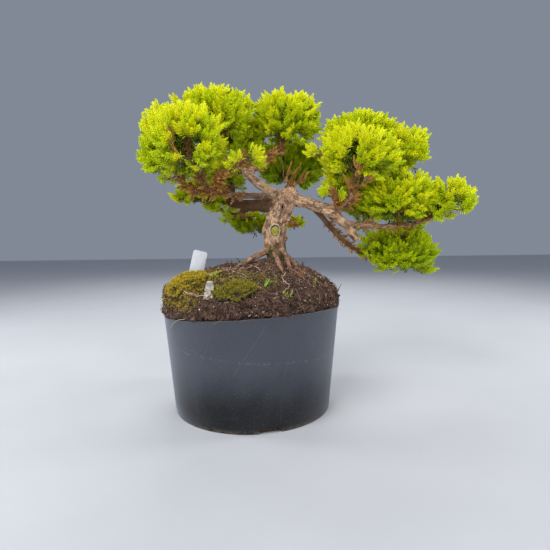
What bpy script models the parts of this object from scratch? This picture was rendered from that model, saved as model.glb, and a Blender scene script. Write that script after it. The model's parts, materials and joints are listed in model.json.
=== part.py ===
"""A conifer trained as a small bonsai, in a cut-down nursery pot.

Everything is worked out in metres, +Z up, -Y towards the front. The origin is the middle of the
pot's flat underside. The trunk, its boughs and the pot are tubes and turned shapes. Each mass of
foliage is a cushion of needle sprays, grown by one rule on a stem that carries its bough on.
"""
import math
import random
from collections import namedtuple

import bmesh
import bpy
from mathutils import Matrix, Vector

MM = 0.001
GAP = 0.3 * MM                     # clearance left between neighbouring pieces

# Pot: a plain tapered wall, its rim cut by hand a little out of level.
POT_FOOT_RADIUS = 77.2 * MM
POT_RIM_RADIUS = 86.1 * MM
POT_WALL = 1.5 * MM
POT_FLOOR = 2.0 * MM
RIM_HEIGHT = 98.0 * MM
RIM_TILT = 4.5 * MM
RIM_TILT_TOWARDS = math.radians(320)
RIM_WAVE = 1.0 * MM
RIM_WAVE_FROM = math.radians(300)
TURN_STEPS = 40
NOTCH_SIZE = (9.0 * MM, 20.5 * MM, 5.5 * MM)      # through the wall, along it, up it
NOTCH_ANGLES = [math.radians(14 + 90 * turn) for turn in range(4)]

# Root ball: a cylinder of peat that stands above the rim, with a flat-topped mound on it.
BALL_RADIUS = 85.5 * MM
BALL_LUMP = 0.7 * MM
BALL_SHOULDER = 4.0 * MM                          # how far below its edge its side begins
BALL_SHOULDER_IN = 2.4 * MM                       # and how far inside that side its edge is
BALL_EDGE_HEIGHT = 123.2 * MM
BALL_EDGE_TILT = 5.6 * MM                         # its edge is lowest at the front
BALL_EDGE_TILT_TOWARDS = math.radians(118)
GROUND_HEIGHT = 137.5 * MM
GROUND_CENTRE = (3.0 * MM, 6.0 * MM)
GROUND_REACH = (50.0 * MM, 33.0 * MM)
HEAP_HEIGHT = 145.0 * MM                          # soil heaped up round the foot of the trunk
HEAP_CENTRE = (27.0 * MM, 1.0 * MM)
HEAP_REACH = (13.5 * MM, 11.5 * MM)
SLOPE_RINGS = 3
SLOPE_BULGE = 2.9 * MM
RIM_OVERHANG = (1.2 * MM, 2.0 * MM)               # where it swells out over the rim, and above

# Plant label: its width, thickness and length, where its foot is pushed in, and its lean.
LABEL_SIZE = (15.2 * MM, 0.7 * MM, 52.0 * MM)
LABEL_FOOT = (-67.5 * MM, 30.0 * MM, 104.0 * MM)
LABEL_LEAN = math.radians(14)
LABEL_CORNER = 2.5 * MM

# Moss: the middle of each cushion, then its half width, half length uphill and thickness.
MOSS = {
    "moss_left": ((-56.0, -45.0, 126.0), (19.0, 22.0, 6.5)),
    "moss_front": ((-10.0, -72.0, 122.0), (20.0, 15.0, 5.5)),
}
MOSS_LIFT = 1.3 * MM

# Trunk: x, y, z and radius in millimetres, from the ground to its rounded head.
TRUNK = [
    (30.0, 0.0, 132.0, 15.0), (26.6, 0.0, 146.0, 12.6), (24.6, 0.0, 162.0, 12.0),
    (25.0, 0.0, 178.0, 11.8), (30.0, 0.0, 193.0, 10.8), (35.6, 0.0, 205.0, 10.4),
    (38.0, 0.0, 210.5, 8.0), (39.0, 0.0, 213.5, 3.5),
]

# Where two boughs were sawn off the trunk's front: middle, width, height and lip thickness.
SCARS = [((24.4, -11.2, 174.7), 9.0, 12.5, 1.7), ((31.6, -10.2, 196.6), 7.0, 9.5, 1.5)]

# A limb leaves its parent part of the way up, in one direction, and reaches its tip in another.
# Places and radii are in millimetres.
Limb = namedtuple("Limb", "parent at leaves tip arrives thick thin")
ROOTS = [
    Limb("trunk", 0.26, (-0.85, -0.4, -0.4), (-21, -18, 133), (-0.75, -0.2, -0.6), 4.4, 2.4),
    Limb("trunk", 0.26, (-0.1, -0.9, -0.5), (32, -26, 133), (0.3, -0.5, -0.8), 3.8, 2.2),
    Limb("trunk", 0.29, (0.5, -0.8, -0.3), (39, -22, 133), (0.1, -0.3, -0.95), 3.2, 2.0),
    Limb("trunk", 0.24, (0.8, -0.5, -0.4), (46, -10, 133), (0.2, -0.1, -0.95), 3.2, 2.2),
    Limb("trunk", 0.22, (0.3, 0.9, -0.3), (37, 31, 133), (0.1, 0.5, -0.85), 3.8, 2.2),
    Limb("trunk", 0.22, (-0.3, 0.9, -0.3), (14, 30, 133), (-0.1, 0.4, -0.9), 3.8, 2.2),
]
LIMBS = {
    "bough_right":
        Limb("trunk", 0.71, (1.0, -0.18, 0.02), (78.5, -8.3, 193.4), (1.0, -0.2, -0.3), 6.2, 5.4),
    "stub_right":
        Limb("bough_right", 0.96, (0.75, -0.1, -0.6), (104.8, -12, 164.6), (0.62, -0.1, -0.78),
             4.9, 3.8),
    "bough_right_upper":
        Limb("bough_right", 0.90, (0.95, -0.35, 0.12), (99, -19.5, 214), (0.05, -0.1, 1.0),
             3.4, 2.2),
    "bough_right_sprig":
        Limb("bough_right_upper", 0.30, (0.2, -0.4, 1.0), (84.7, -15.8, 201), (-0.4, -0.1, 1.0),
             1.7, 1.3),
    "bough_right_inner":
        Limb("bough_right_upper", 0.35, (0.85, 0.5, 0.0), (115, 20.7, 249), (0.0, 0.1, 1.0),
             2.8, 1.9),
    "bough_right_shoulder":
        Limb("bough_right_inner", 0.42, (0.8, 0.5, 0.35), (147, 20, 230), (0.4, -0.1, 0.9),
             2.0, 1.5),
    "bough_right_back":
        Limb("bough_right_inner", 0.35, (0.2, 0.95, 0.1), (117, 48.5, 220.4), (0.0, 0.5, 0.85),
             2.3, 1.7),
    "bough_right_far":
        Limb("stub_right", 0.50, (1.0, 0.25, -0.06), (176.6, -2.1, 184.3), (1.0, -0.3, 0.35),
             3.0, 2.0),
    "bough_right_mid":
        Limb("bough_right_far", 0.50, (0.7, -0.1, 0.7), (145, -4, 180.5), (0.5, 0.0, 0.85),
             1.7, 1.4),
    "bough_right_low":
        Limb("bough_right", 0.58, (0.6, 0.5, -0.62), (119, 27, 148), (0.85, 0.2, -0.5), 3.0, 2.2),
    "bough_left_upper":
        Limb("trunk", 0.79, (-1.0, 0.3, 0.15), (-3, 10, 233), (-0.7, 0.1, 0.75), 5.2, 4.2),
    "bough_centre":
        Limb("bough_left_upper", 0.97, (0.42, 0.74, 0.5), (33, 44.8, 263), (0.75, 0.45, 0.5),
             3.3, 2.2),
    "bough_left_top":
        Limb("bough_left_upper", 0.95, (-0.7, 0.2, 0.7), (-31, 23, 267), (-0.2, 0.1, 0.95),
             3.2, 2.2),
    "bough_left_inner":
        Limb("bough_centre", 0.35, (-0.5, 0.8, 0.3), (-6.2, 45, 241), (-0.5, 0.4, 0.75), 2.2, 1.7),
    "bough_left_lower":
        Limb("trunk", 0.72, (-0.9, 0.42, 0.33), (-46.6, -19.3, 225), (-0.5, -0.45, 0.75),
             3.7, 2.3),
    "bough_left_outer":
        Limb("bough_left_lower", 0.75, (-0.95, 0.2, 0.1), (-67, -4.6, 225), (-0.5, 0.1, 0.85),
             2.1, 1.6),
    "bough_front_spray":
        Limb("bough_left_lower", 0.70, (-0.2, -0.9, 0.3), (-22, -34, 227), (0.7, -0.4, 0.5),
             1.8, 1.4),
    "bough_back_left":
        Limb("trunk", 0.62, (-0.6, 0.75, 0.2), (-26.3, 55.1, 208.4), (-0.85, 0.45, 0.3), 8.0, 5.0),
    "bough_back_low":
        Limb("bough_back_left", 0.62, (-0.1, 0.8, -0.6), (-11, 49, 193), (0.2, 0.7, -0.7),
             2.6, 1.8),
    "bough_back":
        Limb("trunk", 0.77, (0.1, 0.95, 0.1), (43, 62, 226), (0.1, 0.8, 0.6), 4.6, 3.0),
    "bough_back_sprig":
        Limb("trunk", 0.55, (0.35, 0.9, 0.0), (42, 46, 184), (0.3, 0.9, 0.1), 2.4, 1.4),
}
LIMB_STEPS = 7
ROOT_STEPS = 4
LIMB_SIDES = {0.0: 6, 4.0: 8, 9.0: 12}      # sides of a limb over each radius in millimetres
BEND = 1.2                         # how strongly a limb keeps its end directions

# A mass of foliage: the bough that carries it, its middle, and how far it reaches across, front
# to back, up and down, in millimetres.
Mass = namedtuple("Mass", "bough centre reach")
MASSES = {
    "foliage_left_front": Mass("bough_left_lower", (-53, -30, 256), (40, 30, 39, 48)),
    "foliage_left_outer": Mass("bough_left_outer", (-80, -2, 255), (31, 34, 48, 48)),
    "foliage_left_top": Mass("bough_left_top", (-36, 25, 293), (43, 35, 34, 36)),
    "foliage_left_inner": Mass("bough_left_inner", (-12, 59, 268), (35, 32, 39, 44)),
    "foliage_left_low": Mass("bough_back_left", (-54, 48, 214), (36, 25, 24, 20)),
    "foliage_front_spray": Mass("bough_front_spray", (-3, -41, 238), (24, 17, 18, 18)),
    "foliage_centre_top": Mass("bough_centre", (39, 51, 295), (44, 38, 33, 46)),
    "foliage_centre_back": Mass("bough_back", (45, 84, 247), (46, 33, 40, 38)),
    "foliage_back_low": Mass("bough_back_low", (-4, 67, 182), (31, 26, 20, 24)),
    "foliage_back_sprig": Mass("bough_back_sprig", (48, 58, 183), (15, 15, 13, 13)),
    "foliage_right_front": Mass("bough_right_upper", (104, -23, 245), (46, 31, 31, 44)),
    "foliage_right_sprig": Mass("bough_right_sprig", (80, -16, 208), (20, 13, 13, 10)),
    "foliage_right_top": Mass("bough_right_inner", (113, 20, 272), (45, 33, 26, 32)),
    "foliage_right_back": Mass("bough_right_back", (116, 63, 247), (42, 31, 32, 44)),
    "foliage_right_shoulder": Mass("bough_right_shoulder", (156, 8, 253), (28, 32, 27, 38)),
    "foliage_right_mid": Mass("bough_right_mid", (145, -5, 205), (42, 30, 35, 36)),
    "foliage_right_far": Mass("bough_right_far", (193, -5, 202), (33, 28, 26, 30)),
    "foliage_right_low": Mass("bough_right_low", (158, 31, 148), (45, 33, 36, 37)),
}
SMALL_MASS = 26                    # a smaller reach across takes a coarser middle
CORE_SHARE = 0.83                  # how much of a mass its dense middle fills
CORE_DROP_SHARE = 0.66             # and how much of its drop, above the bare twigs
CORE_ROUGH = (0.94, 1.02)
CORE_STEP = 0.04                   # how it is drawn in, and where that stops
CORE_LEAST = 0.2
TUFT_CHANCE = 0.6                  # how often a corner of the middle is drawn out as a tuft
TUFT_SHARE = 1.16                  # and how far
LOWEST_TUFT = -0.45
OUTER_SHARE = 1.09                 # where the furthest sprays end
OWN_MARGIN = 0.035                 # how much nearer its own mass a point stays than any other
LIMB_MARGIN = 0.8 * MM
STEM_STRAIGHT = 5.0 * MM
FORK_AT = 0.12
STEM_SIDES = 6
RIBS = 4
RIB_SHARE = 0.5
RIB_RADIUS = (1.5 * MM, 0.9 * MM)
RIB_SIDES = 3
SPRAY_ROOM = 445 * MM * MM         # a mass has a spray to so much of its reaches' products
SPRAY_TRIES = 6                    # how often one that does not fit is drawn in by the shrink
SPRAY_SHRINK = 0.93
LOWEST_SPRAY = -0.62
SPRAY_TEETH = 3
SPRAY_WIDTH = 16.0 * MM
SPRAY_THICKNESS = 2.6 * MM
SPRAY_THICKEST = 0.45              # where along it that thickness is
SPRAY_TAPER = 0.7                  # its width near the foot, as a share of the width at the tip
SPRAY_SUNK = 9.0 * MM
SPRAY_UPTURN = 0.35
TOOTH_DEPTH = 0.42
GOLDEN_ANGLE = math.pi * (3 - math.sqrt(5))
SEED = 41

Finish = namedtuple("Finish", "colour roughness")
FINISHES = {
    "pot": Finish((0.012, 0.012, 0.013), 0.42),
    "soil": Finish((0.075, 0.042, 0.024), 0.95),
    "moss": Finish((0.17, 0.19, 0.03), 0.95),
    "label": Finish((0.82, 0.84, 0.86), 0.35),
    "bark": Finish((0.24, 0.15, 0.10), 0.85),
    "foliage": Finish((0.36, 0.55, 0.05), 0.6),
}


def mm(place):
    """A place in millimetres as a vector in metres."""
    return Vector(place) * MM


def new_collection(name):
    collection = bpy.data.collections.new(name)
    bpy.context.scene.collection.children.link(collection)
    return collection


def object_from_mesh(name, mesh, collection):
    made = bpy.data.objects.new(name, mesh)
    collection.objects.link(made)
    return made


def object_from_bmesh(name, body, collection):
    mesh = bpy.data.meshes.new(name)
    body.to_mesh(mesh)
    body.free()
    return object_from_mesh(name, mesh, collection)


def applied(source, name, collection):
    """Replace an object by the welded mesh that its curve or modifiers make."""
    depsgraph = bpy.context.evaluated_depsgraph_get()
    mesh = bpy.data.meshes.new_from_object(source.evaluated_get(depsgraph))
    mesh.transform(source.matrix_world)
    bpy.data.objects.remove(source)
    body = bmesh.new()
    body.from_mesh(mesh)
    bmesh.ops.remove_doubles(body, verts=body.verts, dist=0.002 * MM)
    body.to_mesh(mesh)
    body.free()
    return object_from_mesh(name, mesh, collection)


def largest_piece(made):
    """Drop every loose scrap from a mesh and keep its largest piece."""
    body = bmesh.new()
    body.from_mesh(made.data)
    left = set(body.verts)
    pieces = []
    while left:
        piece = {left.pop()}
        edge_of_piece = set(piece)
        while edge_of_piece:
            near = {edge.other_vert(v) for v in edge_of_piece for edge in v.link_edges}
            edge_of_piece = near - piece
            piece |= edge_of_piece
        left -= piece
        pieces.append(piece)
    pieces.sort(key=len)
    scraps = [v for piece in pieces[:-1] for v in piece]
    bmesh.ops.delete(body, geom=scraps, context="VERTS")
    body.to_mesh(made.data)
    body.free()


def combined(made, others, operation):
    """Join other objects to one, or cut them from it, and remove them."""
    if not others:
        return made
    name = made.name
    collection = made.users_collection[0]
    operands = new_collection("operands")
    for other in others:
        other.users_collection[0].objects.unlink(other)
        operands.objects.link(other)
    boolean = made.modifiers.new("combine", "BOOLEAN")
    boolean.operation = operation
    boolean.operand_type = "COLLECTION"
    boolean.collection = operands
    boolean.solver = "EXACT"
    made = applied(made, name, collection)
    for other in others:
        bpy.data.objects.remove(other)
    bpy.data.collections.remove(operands)
    largest_piece(made)
    return made


def tube(name, route, radii, sides, collection):
    """A closed tube along a route, with its own radius at every point."""
    curve = bpy.data.curves.new(name, "CURVE")
    curve.dimensions = "3D"
    curve.bevel_depth = 1.0
    curve.bevel_resolution = sides // 2 - 2
    curve.use_fill_caps = True
    spline = curve.splines.new("POLY")
    spline.points.add(len(route) - 1)
    for point, place, radius in zip(spline.points, route, radii):
        point.co = (*place, 1.0)
        point.radius = radius
    made = applied(object_from_mesh(name, curve, collection), name, collection)
    bpy.data.curves.remove(curve)
    return made


def twig(start, end, thick, thin, collection):
    """A straight tapered twig with three sides."""
    body = bmesh.new()
    along = end - start
    turn = along.to_track_quat("Z", "Y").to_matrix().to_4x4()
    bmesh.ops.create_cone(
        body, cap_ends=True, segments=RIB_SIDES, radius1=thick, radius2=thin, depth=along.length,
        matrix=Matrix.Translation((start + end) / 2) @ turn)
    return object_from_bmesh("twig", body, collection)


def loft(name, rings, collection):
    """A closed solid through rings of points, listed from its top to its underside."""
    body = bmesh.new()
    made_rings = [[body.verts.new(point) for point in ring] for ring in rings]
    for upper, lower in zip(made_rings, made_rings[1:]):
        for here in range(len(upper)):
            after = (here + 1) % len(upper)
            body.faces.new((upper[here], lower[here], lower[after], upper[after]))
    body.faces.new(made_rings[0])
    body.faces.new(reversed(made_rings[-1]))
    bmesh.ops.triangulate(body, faces=body.faces)
    return object_from_bmesh(name, body, collection)


def pot_radius(height):
    """Outer radius of the pot's wall at a height."""
    return POT_FOOT_RADIUS + (POT_RIM_RADIUS - POT_FOOT_RADIUS) * height / RIM_HEIGHT


def rim_height(angle):
    """Height of the pot's uneven rim at an angle round it."""
    tilt = RIM_TILT * math.cos(angle - RIM_TILT_TOWARDS)
    return RIM_HEIGHT + tilt + RIM_WAVE * math.cos(2 * (angle - RIM_WAVE_FROM))


def make_pot(collection, cutters):
    """The pot: a turned cup with a hand-cut rim and four drain notches round its foot."""
    profile = [
        (0, POT_FLOOR), (pot_radius(POT_FLOOR) - POT_WALL, POT_FLOOR),
        (POT_RIM_RADIUS - POT_WALL, RIM_HEIGHT), (POT_RIM_RADIUS, RIM_HEIGHT),
        (POT_FOOT_RADIUS, 0), (0, 0),
    ]
    mesh = bpy.data.meshes.new("pot")
    places = [(radius, 0, height) for radius, height in profile]
    mesh.from_pydata(places, [(i, i + 1) for i in range(len(places) - 1)], [])
    turned = object_from_mesh("pot", mesh, collection)
    screw = turned.modifiers.new("turn", "SCREW")
    screw.steps = TURN_STEPS
    screw.render_steps = TURN_STEPS
    screw.use_merge_vertices = True
    screw.merge_threshold = 0.01 * MM
    pot = applied(turned, "pot", collection)
    for vertex in pot.data.vertices:
        if vertex.co.z > RIM_HEIGHT / 2:
            angle = math.atan2(vertex.co.y, vertex.co.x)
            inward = POT_RIM_RADIUS - math.hypot(vertex.co.x, vertex.co.y)
            height = rim_height(angle)
            radius = pot_radius(height) - inward
            vertex.co = (radius * math.cos(angle), radius * math.sin(angle), height)

    for number, angle in enumerate(NOTCH_ANGLES):
        body = bmesh.new()
        bmesh.ops.create_cube(body, size=1.0, matrix=Matrix.Diagonal((*NOTCH_SIZE, 1.0)))
        cutter = object_from_bmesh(f"notch_cutter_{number}", body, cutters)
        cutter.location = (POT_FOOT_RADIUS * math.cos(angle), POT_FOOT_RADIUS * math.sin(angle), 0)
        cutter.location.z = NOTCH_SIZE[2] / 2 - GAP
        cutter.rotation_euler.z = angle
        cutter.hide_render = True
        cutter.display_type = "WIRE"
        notch = pot.modifiers.new(f"notch_{number}", "BOOLEAN")
        notch.operation = "DIFFERENCE"
        notch.object = cutter
        notch.solver = "EXACT"
    return pot


def edge_height(angle):
    """Height of the root ball's upper edge, lowest at the front."""
    return BALL_EDGE_HEIGHT + BALL_EDGE_TILT * math.cos(angle - BALL_EDGE_TILT_TOWARDS)


def soil_ring(radius, height):
    """A ring round the pot's axis; radius and height are functions of the angle."""
    angles = [math.tau * step / TURN_STEPS for step in range(TURN_STEPS)]
    return [Vector((radius(a) * math.cos(a), radius(a) * math.sin(a), height(a))) for a in angles]


def make_soil(name, grow, collection):
    """The root ball, grown all over by the given distance above the pot."""
    def side(angle):
        lump = math.sin(5 * angle + 1) + 0.6 * math.sin(11 * angle)
        return BALL_RADIUS + BALL_LUMP * lump + grow

    edge = soil_ring(lambda a: side(a) - BALL_SHOULDER_IN, lambda a: edge_height(a) + grow)
    def level_ring(centre, reach, height):
        circle = soil_ring(lambda a: 1.0, lambda a: height + grow)
        return [Vector((centre[0] + p.x * reach[0], centre[1] + p.y * reach[1], p.z))
                for p in circle]

    top = level_ring(GROUND_CENTRE, GROUND_REACH, GROUND_HEIGHT)
    rings = [level_ring(HEAP_CENTRE, HEAP_REACH, HEAP_HEIGHT), top]
    for ring in range(1, SLOPE_RINGS):
        share = ring / SLOPE_RINGS
        between = [upper.lerp(lower, share) for upper, lower in zip(top, edge)]
        bulge = math.sin(math.pi * share) * SLOPE_BULGE
        rings.append([point + Vector((0, 0, bulge)) for point in between])
    rings.append(edge)
    rings.append(soil_ring(side, lambda a: edge_height(a) - BALL_SHOULDER + grow))
    rings.append(soil_ring(lambda a: POT_RIM_RADIUS + RIM_OVERHANG[0],
                           lambda a: rim_height(a) + RIM_OVERHANG[1]))
    inner = POT_WALL + GAP
    rings.append(soil_ring(lambda a: pot_radius(rim_height(a)) - inner,
                           lambda a: rim_height(a) + GAP))
    base = POT_FLOOR + GAP
    rings.append(soil_ring(lambda a: pot_radius(base) - inner, lambda a: base))
    return loft(name, rings, collection)


def make_label(name, grow, collection):
    """The plant label: a thin plate with a round top, leaning in the root ball."""
    width, thickness, height = LABEL_SIZE
    body = bmesh.new()
    size = (width + 2 * grow, thickness + 2 * grow, height + 2 * grow, 1.0)
    bmesh.ops.create_cube(body, size=1.0, matrix=Matrix.Diagonal(size))
    corners = [edge for edge in body.edges
               if min(v.co.z for v in edge.verts) > 0 and edge.verts[0].co.x == edge.verts[1].co.x]
    bmesh.ops.bevel(body, geom=corners, offset=LABEL_CORNER, segments=4, profile=0.5,
                    affect="EDGES")
    lean = Matrix.Rotation(LABEL_LEAN, 4, "Y") @ Matrix.Translation((0, 0, height / 2))
    bmesh.ops.transform(body, verts=body.verts, matrix=Matrix.Translation(LABEL_FOOT) @ lean)
    return object_from_bmesh(name, body, collection)


def make_moss(name, ground, collection):
    """A cushion of moss draped over the root ball."""
    centre, reach = MOSS[name]
    width, length, thickness = mm(reach)
    _, middle, upward, _ = ground.closest_point_on_mesh(mm(centre))
    turn = upward.to_track_quat("Z", "Y").to_matrix()
    body = bmesh.new()
    bmesh.ops.create_icosphere(body, subdivisions=2, radius=1.0)
    for vertex in body.verts:
        flat = Vector((vertex.co.x * width, vertex.co.y * length, 0))
        _, place, normal, _ = ground.closest_point_on_mesh(middle + turn @ flat)
        vertex.co = place + normal * (vertex.co.z * thickness + MOSS_LIFT)
    moss = object_from_bmesh(name, body, collection)
    return combined(moss, [make_soil("cut", GAP, collection)], "DIFFERENCE")


def trunk_route():
    """Points and radii up the trunk, smoothed through its own."""
    marks = [Vector(mark) * MM for mark in TRUNK]
    ends = [2 * marks[0] - marks[1], *marks, 2 * marks[-1] - marks[-2]]
    route = []
    for before, start, end, after in zip(ends, ends[1:], ends[2:], ends[3:]):
        for part in (0.0, 0.5):
            straight = 2 * start + (end - before) * part
            curved = (2 * before - 5 * start + 4 * end - after) * part ** 2
            twisted = (3 * start - before - 3 * end + after) * part ** 3
            route.append((straight + curved + twisted) / 2)
    route.append(marks[-1])
    return [mark.xyz for mark in route], [mark.w for mark in route]


def limb_route(limb, routes, steps=LIMB_STEPS):
    """Points and radii along a limb, from its parent's middle to its own tip."""
    parent, _ = routes[limb.parent]
    place = limb.at * (len(parent) - 1)
    below = min(int(place), len(parent) - 2)
    start = parent[below].lerp(parent[below + 1], place - below)
    end = mm(limb.tip)
    strength = (end - start).length * BEND
    leaving = Vector(limb.leaves).normalized() * strength
    arriving = Vector(limb.arrives).normalized() * strength
    route = []
    radii = []
    for step in range(steps + 1):
        t = step / steps
        route.append((2 * t ** 3 - 3 * t ** 2 + 1) * start + (t ** 3 - 2 * t ** 2 + t) * leaving
                     + (3 * t ** 2 - 2 * t ** 3) * end + (t ** 3 - t ** 2) * arriving)
        radii.append((limb.thick + (limb.thin - limb.thick) * t) * MM)
    return route, radii


def limb_tube(name, route, radii, grow, collection):
    """A limb's tube, or the slightly larger one that keeps its neighbours clear."""
    route = list(route)
    route[0] = route[0] + (route[0] - route[1]).normalized() * grow
    route[-1] = route[-1] + (route[-1] - route[-2]).normalized() * grow
    sides = max(count for over, count in LIMB_SIDES.items() if radii[0] > over * MM)
    return tube(name, route, [radius + grow for radius in radii], sides, collection)


def make_scar(middle, width, height, lip, collection):
    """The raised lip of bark that has grown round an old saw cut."""
    body = bmesh.new()
    bmesh.ops.create_circle(body, segments=10, radius=1.0)
    route = [Vector((v.co.x * width / 2, 0, v.co.y * height / 2)) * MM for v in body.verts]
    body.free()
    curve = bpy.data.curves.new("scar", "CURVE")
    curve.dimensions = "3D"
    curve.bevel_depth = lip * MM
    curve.bevel_resolution = 1
    spline = curve.splines.new("POLY")
    spline.points.add(len(route) - 1)
    spline.use_cyclic_u = True
    for point, place in zip(spline.points, route):
        point.co = (*(place + mm(middle)), 1.0)
    made = applied(object_from_mesh("scar", curve, collection), "scar", collection)
    bpy.data.curves.remove(curve)
    return made


def make_trunk(routes, collection):
    """Trunk, roots and healed cuts in one, cut flat on the ground."""
    trunk = limb_tube("trunk", *routes["trunk"], 0, collection)
    added = []
    for number, root in enumerate(ROOTS):
        route, radii = limb_route(root, routes, ROOT_STEPS)
        added.append(limb_tube(f"root_{number}", route, radii, 0, collection))
    for scar in SCARS:
        added.append(make_scar(*scar, collection))
    trunk = combined(trunk, added, "UNION")
    return combined(trunk, [make_soil("cut", GAP, collection)], "DIFFERENCE")


def near(first, second):
    """Whether the boxes of two objects, a gap larger, meet."""
    for axis in range(3):
        a = [v.co[axis] for v in first.data.vertices]
        b = [v.co[axis] for v in second.data.vertices]
        if max(a) + 2 * GAP < min(b) or max(b) + 2 * GAP < min(a):
            return False
    return True


def cut_clear(made, names, routes, collection):
    """A part with the named limbs, each a gap larger, cut out of it."""
    cuts = []
    for name in names:
        cutter = limb_tube("cut", *routes[name], GAP, collection)
        if near(made, cutter):
            cuts.append(cutter)
        else:
            bpy.data.objects.remove(cutter)
    return combined(made, cuts, "DIFFERENCE")


def make_limbs(routes, collection):
    """Every bough, each cut clear of the trunk and of the boughs before it."""
    made = []
    done = ["trunk"]
    for name in LIMBS:
        bough = limb_tube(name, *routes[name], 0, collection)
        made.append(cut_clear(bough, done, routes, collection))
        done.append(name)
    return made


def share(mass, place):
    """How far out in a mass a place is: 0 at its middle, 1 at its surface."""
    across, deep, rise, drop = mass.reach
    offset = place / MM - Vector(mass.centre)
    height = rise if offset.z > 0 else drop
    return Vector((offset.x / across, offset.y / deep, offset.z / height)).length


def is_own(name, place):
    """Whether a place is in reach of a mass and nearer to it than to any other."""
    own = share(MASSES[name], place)
    others = (share(mass, place) for other, mass in MASSES.items() if other != name)
    return own <= OUTER_SHARE and own + OWN_MARGIN < min(others)


def clear_of_limbs(place, routes):
    """Whether a place keeps clear of the trunk and of every bough."""
    for route, radii in routes.values():
        for start, end, thick, thin in zip(route, route[1:], radii, radii[1:]):
            along = end - start
            part = min(max((place - start).dot(along) / along.length_squared, 0.0), 1.0)
            if (place - start - along * part).length < thick + (thin - thick) * part + LIMB_MARGIN:
                return False
    return True


def make_core(name, rule, routes, collection):
    """The dense middle of a mass: a cushion drawn in where a neighbour or a limb comes near."""
    across, deep, rise, drop = mm(MASSES[name].reach)
    centre = mm(MASSES[name].centre)
    body = bmesh.new()
    fineness = 2 if MASSES[name].reach[0] < SMALL_MASS else 3
    bmesh.ops.create_icosphere(body, subdivisions=fineness, radius=1.0)
    tufts = set()
    for vertex in body.verts:
        out = vertex.co.copy()
        height = rise * CORE_SHARE if out.z > 0 else drop * CORE_DROP_SHARE
        reach = rule.uniform(*CORE_ROUGH)
        beside = {edge.other_vert(vertex) for edge in vertex.link_edges}
        if out.z > LOWEST_TUFT and not beside & tufts and rule.random() < TUFT_CHANCE:
            tufts.add(vertex)
            reach = TUFT_SHARE
        out = Vector((out.x * across * CORE_SHARE, out.y * deep * CORE_SHARE, out.z * height))
        while reach > CORE_LEAST:
            place = centre + out * reach
            if is_own(name, place) and clear_of_limbs(place, routes):
                break
            reach -= CORE_STEP
        vertex.co = centre + out * reach
    return object_from_bmesh(name, body, collection)


def make_spray(foot, tip, roll, width, collection):
    """A toothed blade of needles from foot to tip: a flattened sphere of one ring."""
    points = 4 * SPRAY_TEETH
    length = (tip - foot).length
    body = bmesh.new()
    bmesh.ops.create_uvsphere(body, u_segments=points, v_segments=2, radius=1.0)
    rim = [v for v in body.verts if abs(v.co.z) < 0.5]
    for vertex in rim:
        angle = math.atan2(vertex.co.y, vertex.co.x)
        number = round(angle / math.tau * points)
        tooth = 1.0 if number % 2 else 1.0 - TOOTH_DEPTH
        if number % (points // 2) == 0:
            tooth = 1.0
        along = 0.5 + 0.5 * math.cos(angle)
        out = math.sin(angle) * tooth * (SPRAY_TAPER + (1 - SPRAY_TAPER) * along)
        vertex.co = (out * width / 2, 0, length * along)
    for vertex in body.verts:
        if vertex not in rim:
            side = math.copysign(SPRAY_THICKNESS / 2, vertex.co.z)
            vertex.co = (0, side, length * SPRAY_THICKEST)
    turn = (tip - foot).to_track_quat("Z", "Y").to_matrix().to_4x4()
    place = Matrix.Translation(foot) @ turn @ Matrix.Rotation(roll, 4, "Z")
    bmesh.ops.transform(body, verts=body.verts, matrix=place)
    bmesh.ops.recalc_face_normals(body, faces=body.faces)
    return object_from_bmesh("spray", body, collection)


def fits(name, made, routes):
    """Whether a twig or spray keeps to its mass's space and off every limb."""
    corners = [v.co for v in made.data.vertices]
    middles = [(made.data.vertices[a].co + made.data.vertices[b].co) / 2
               for a, b in (edge.vertices for edge in made.data.edges)]
    return all(is_own(name, place) and clear_of_limbs(place, routes)
               for place in corners + middles)


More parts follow.
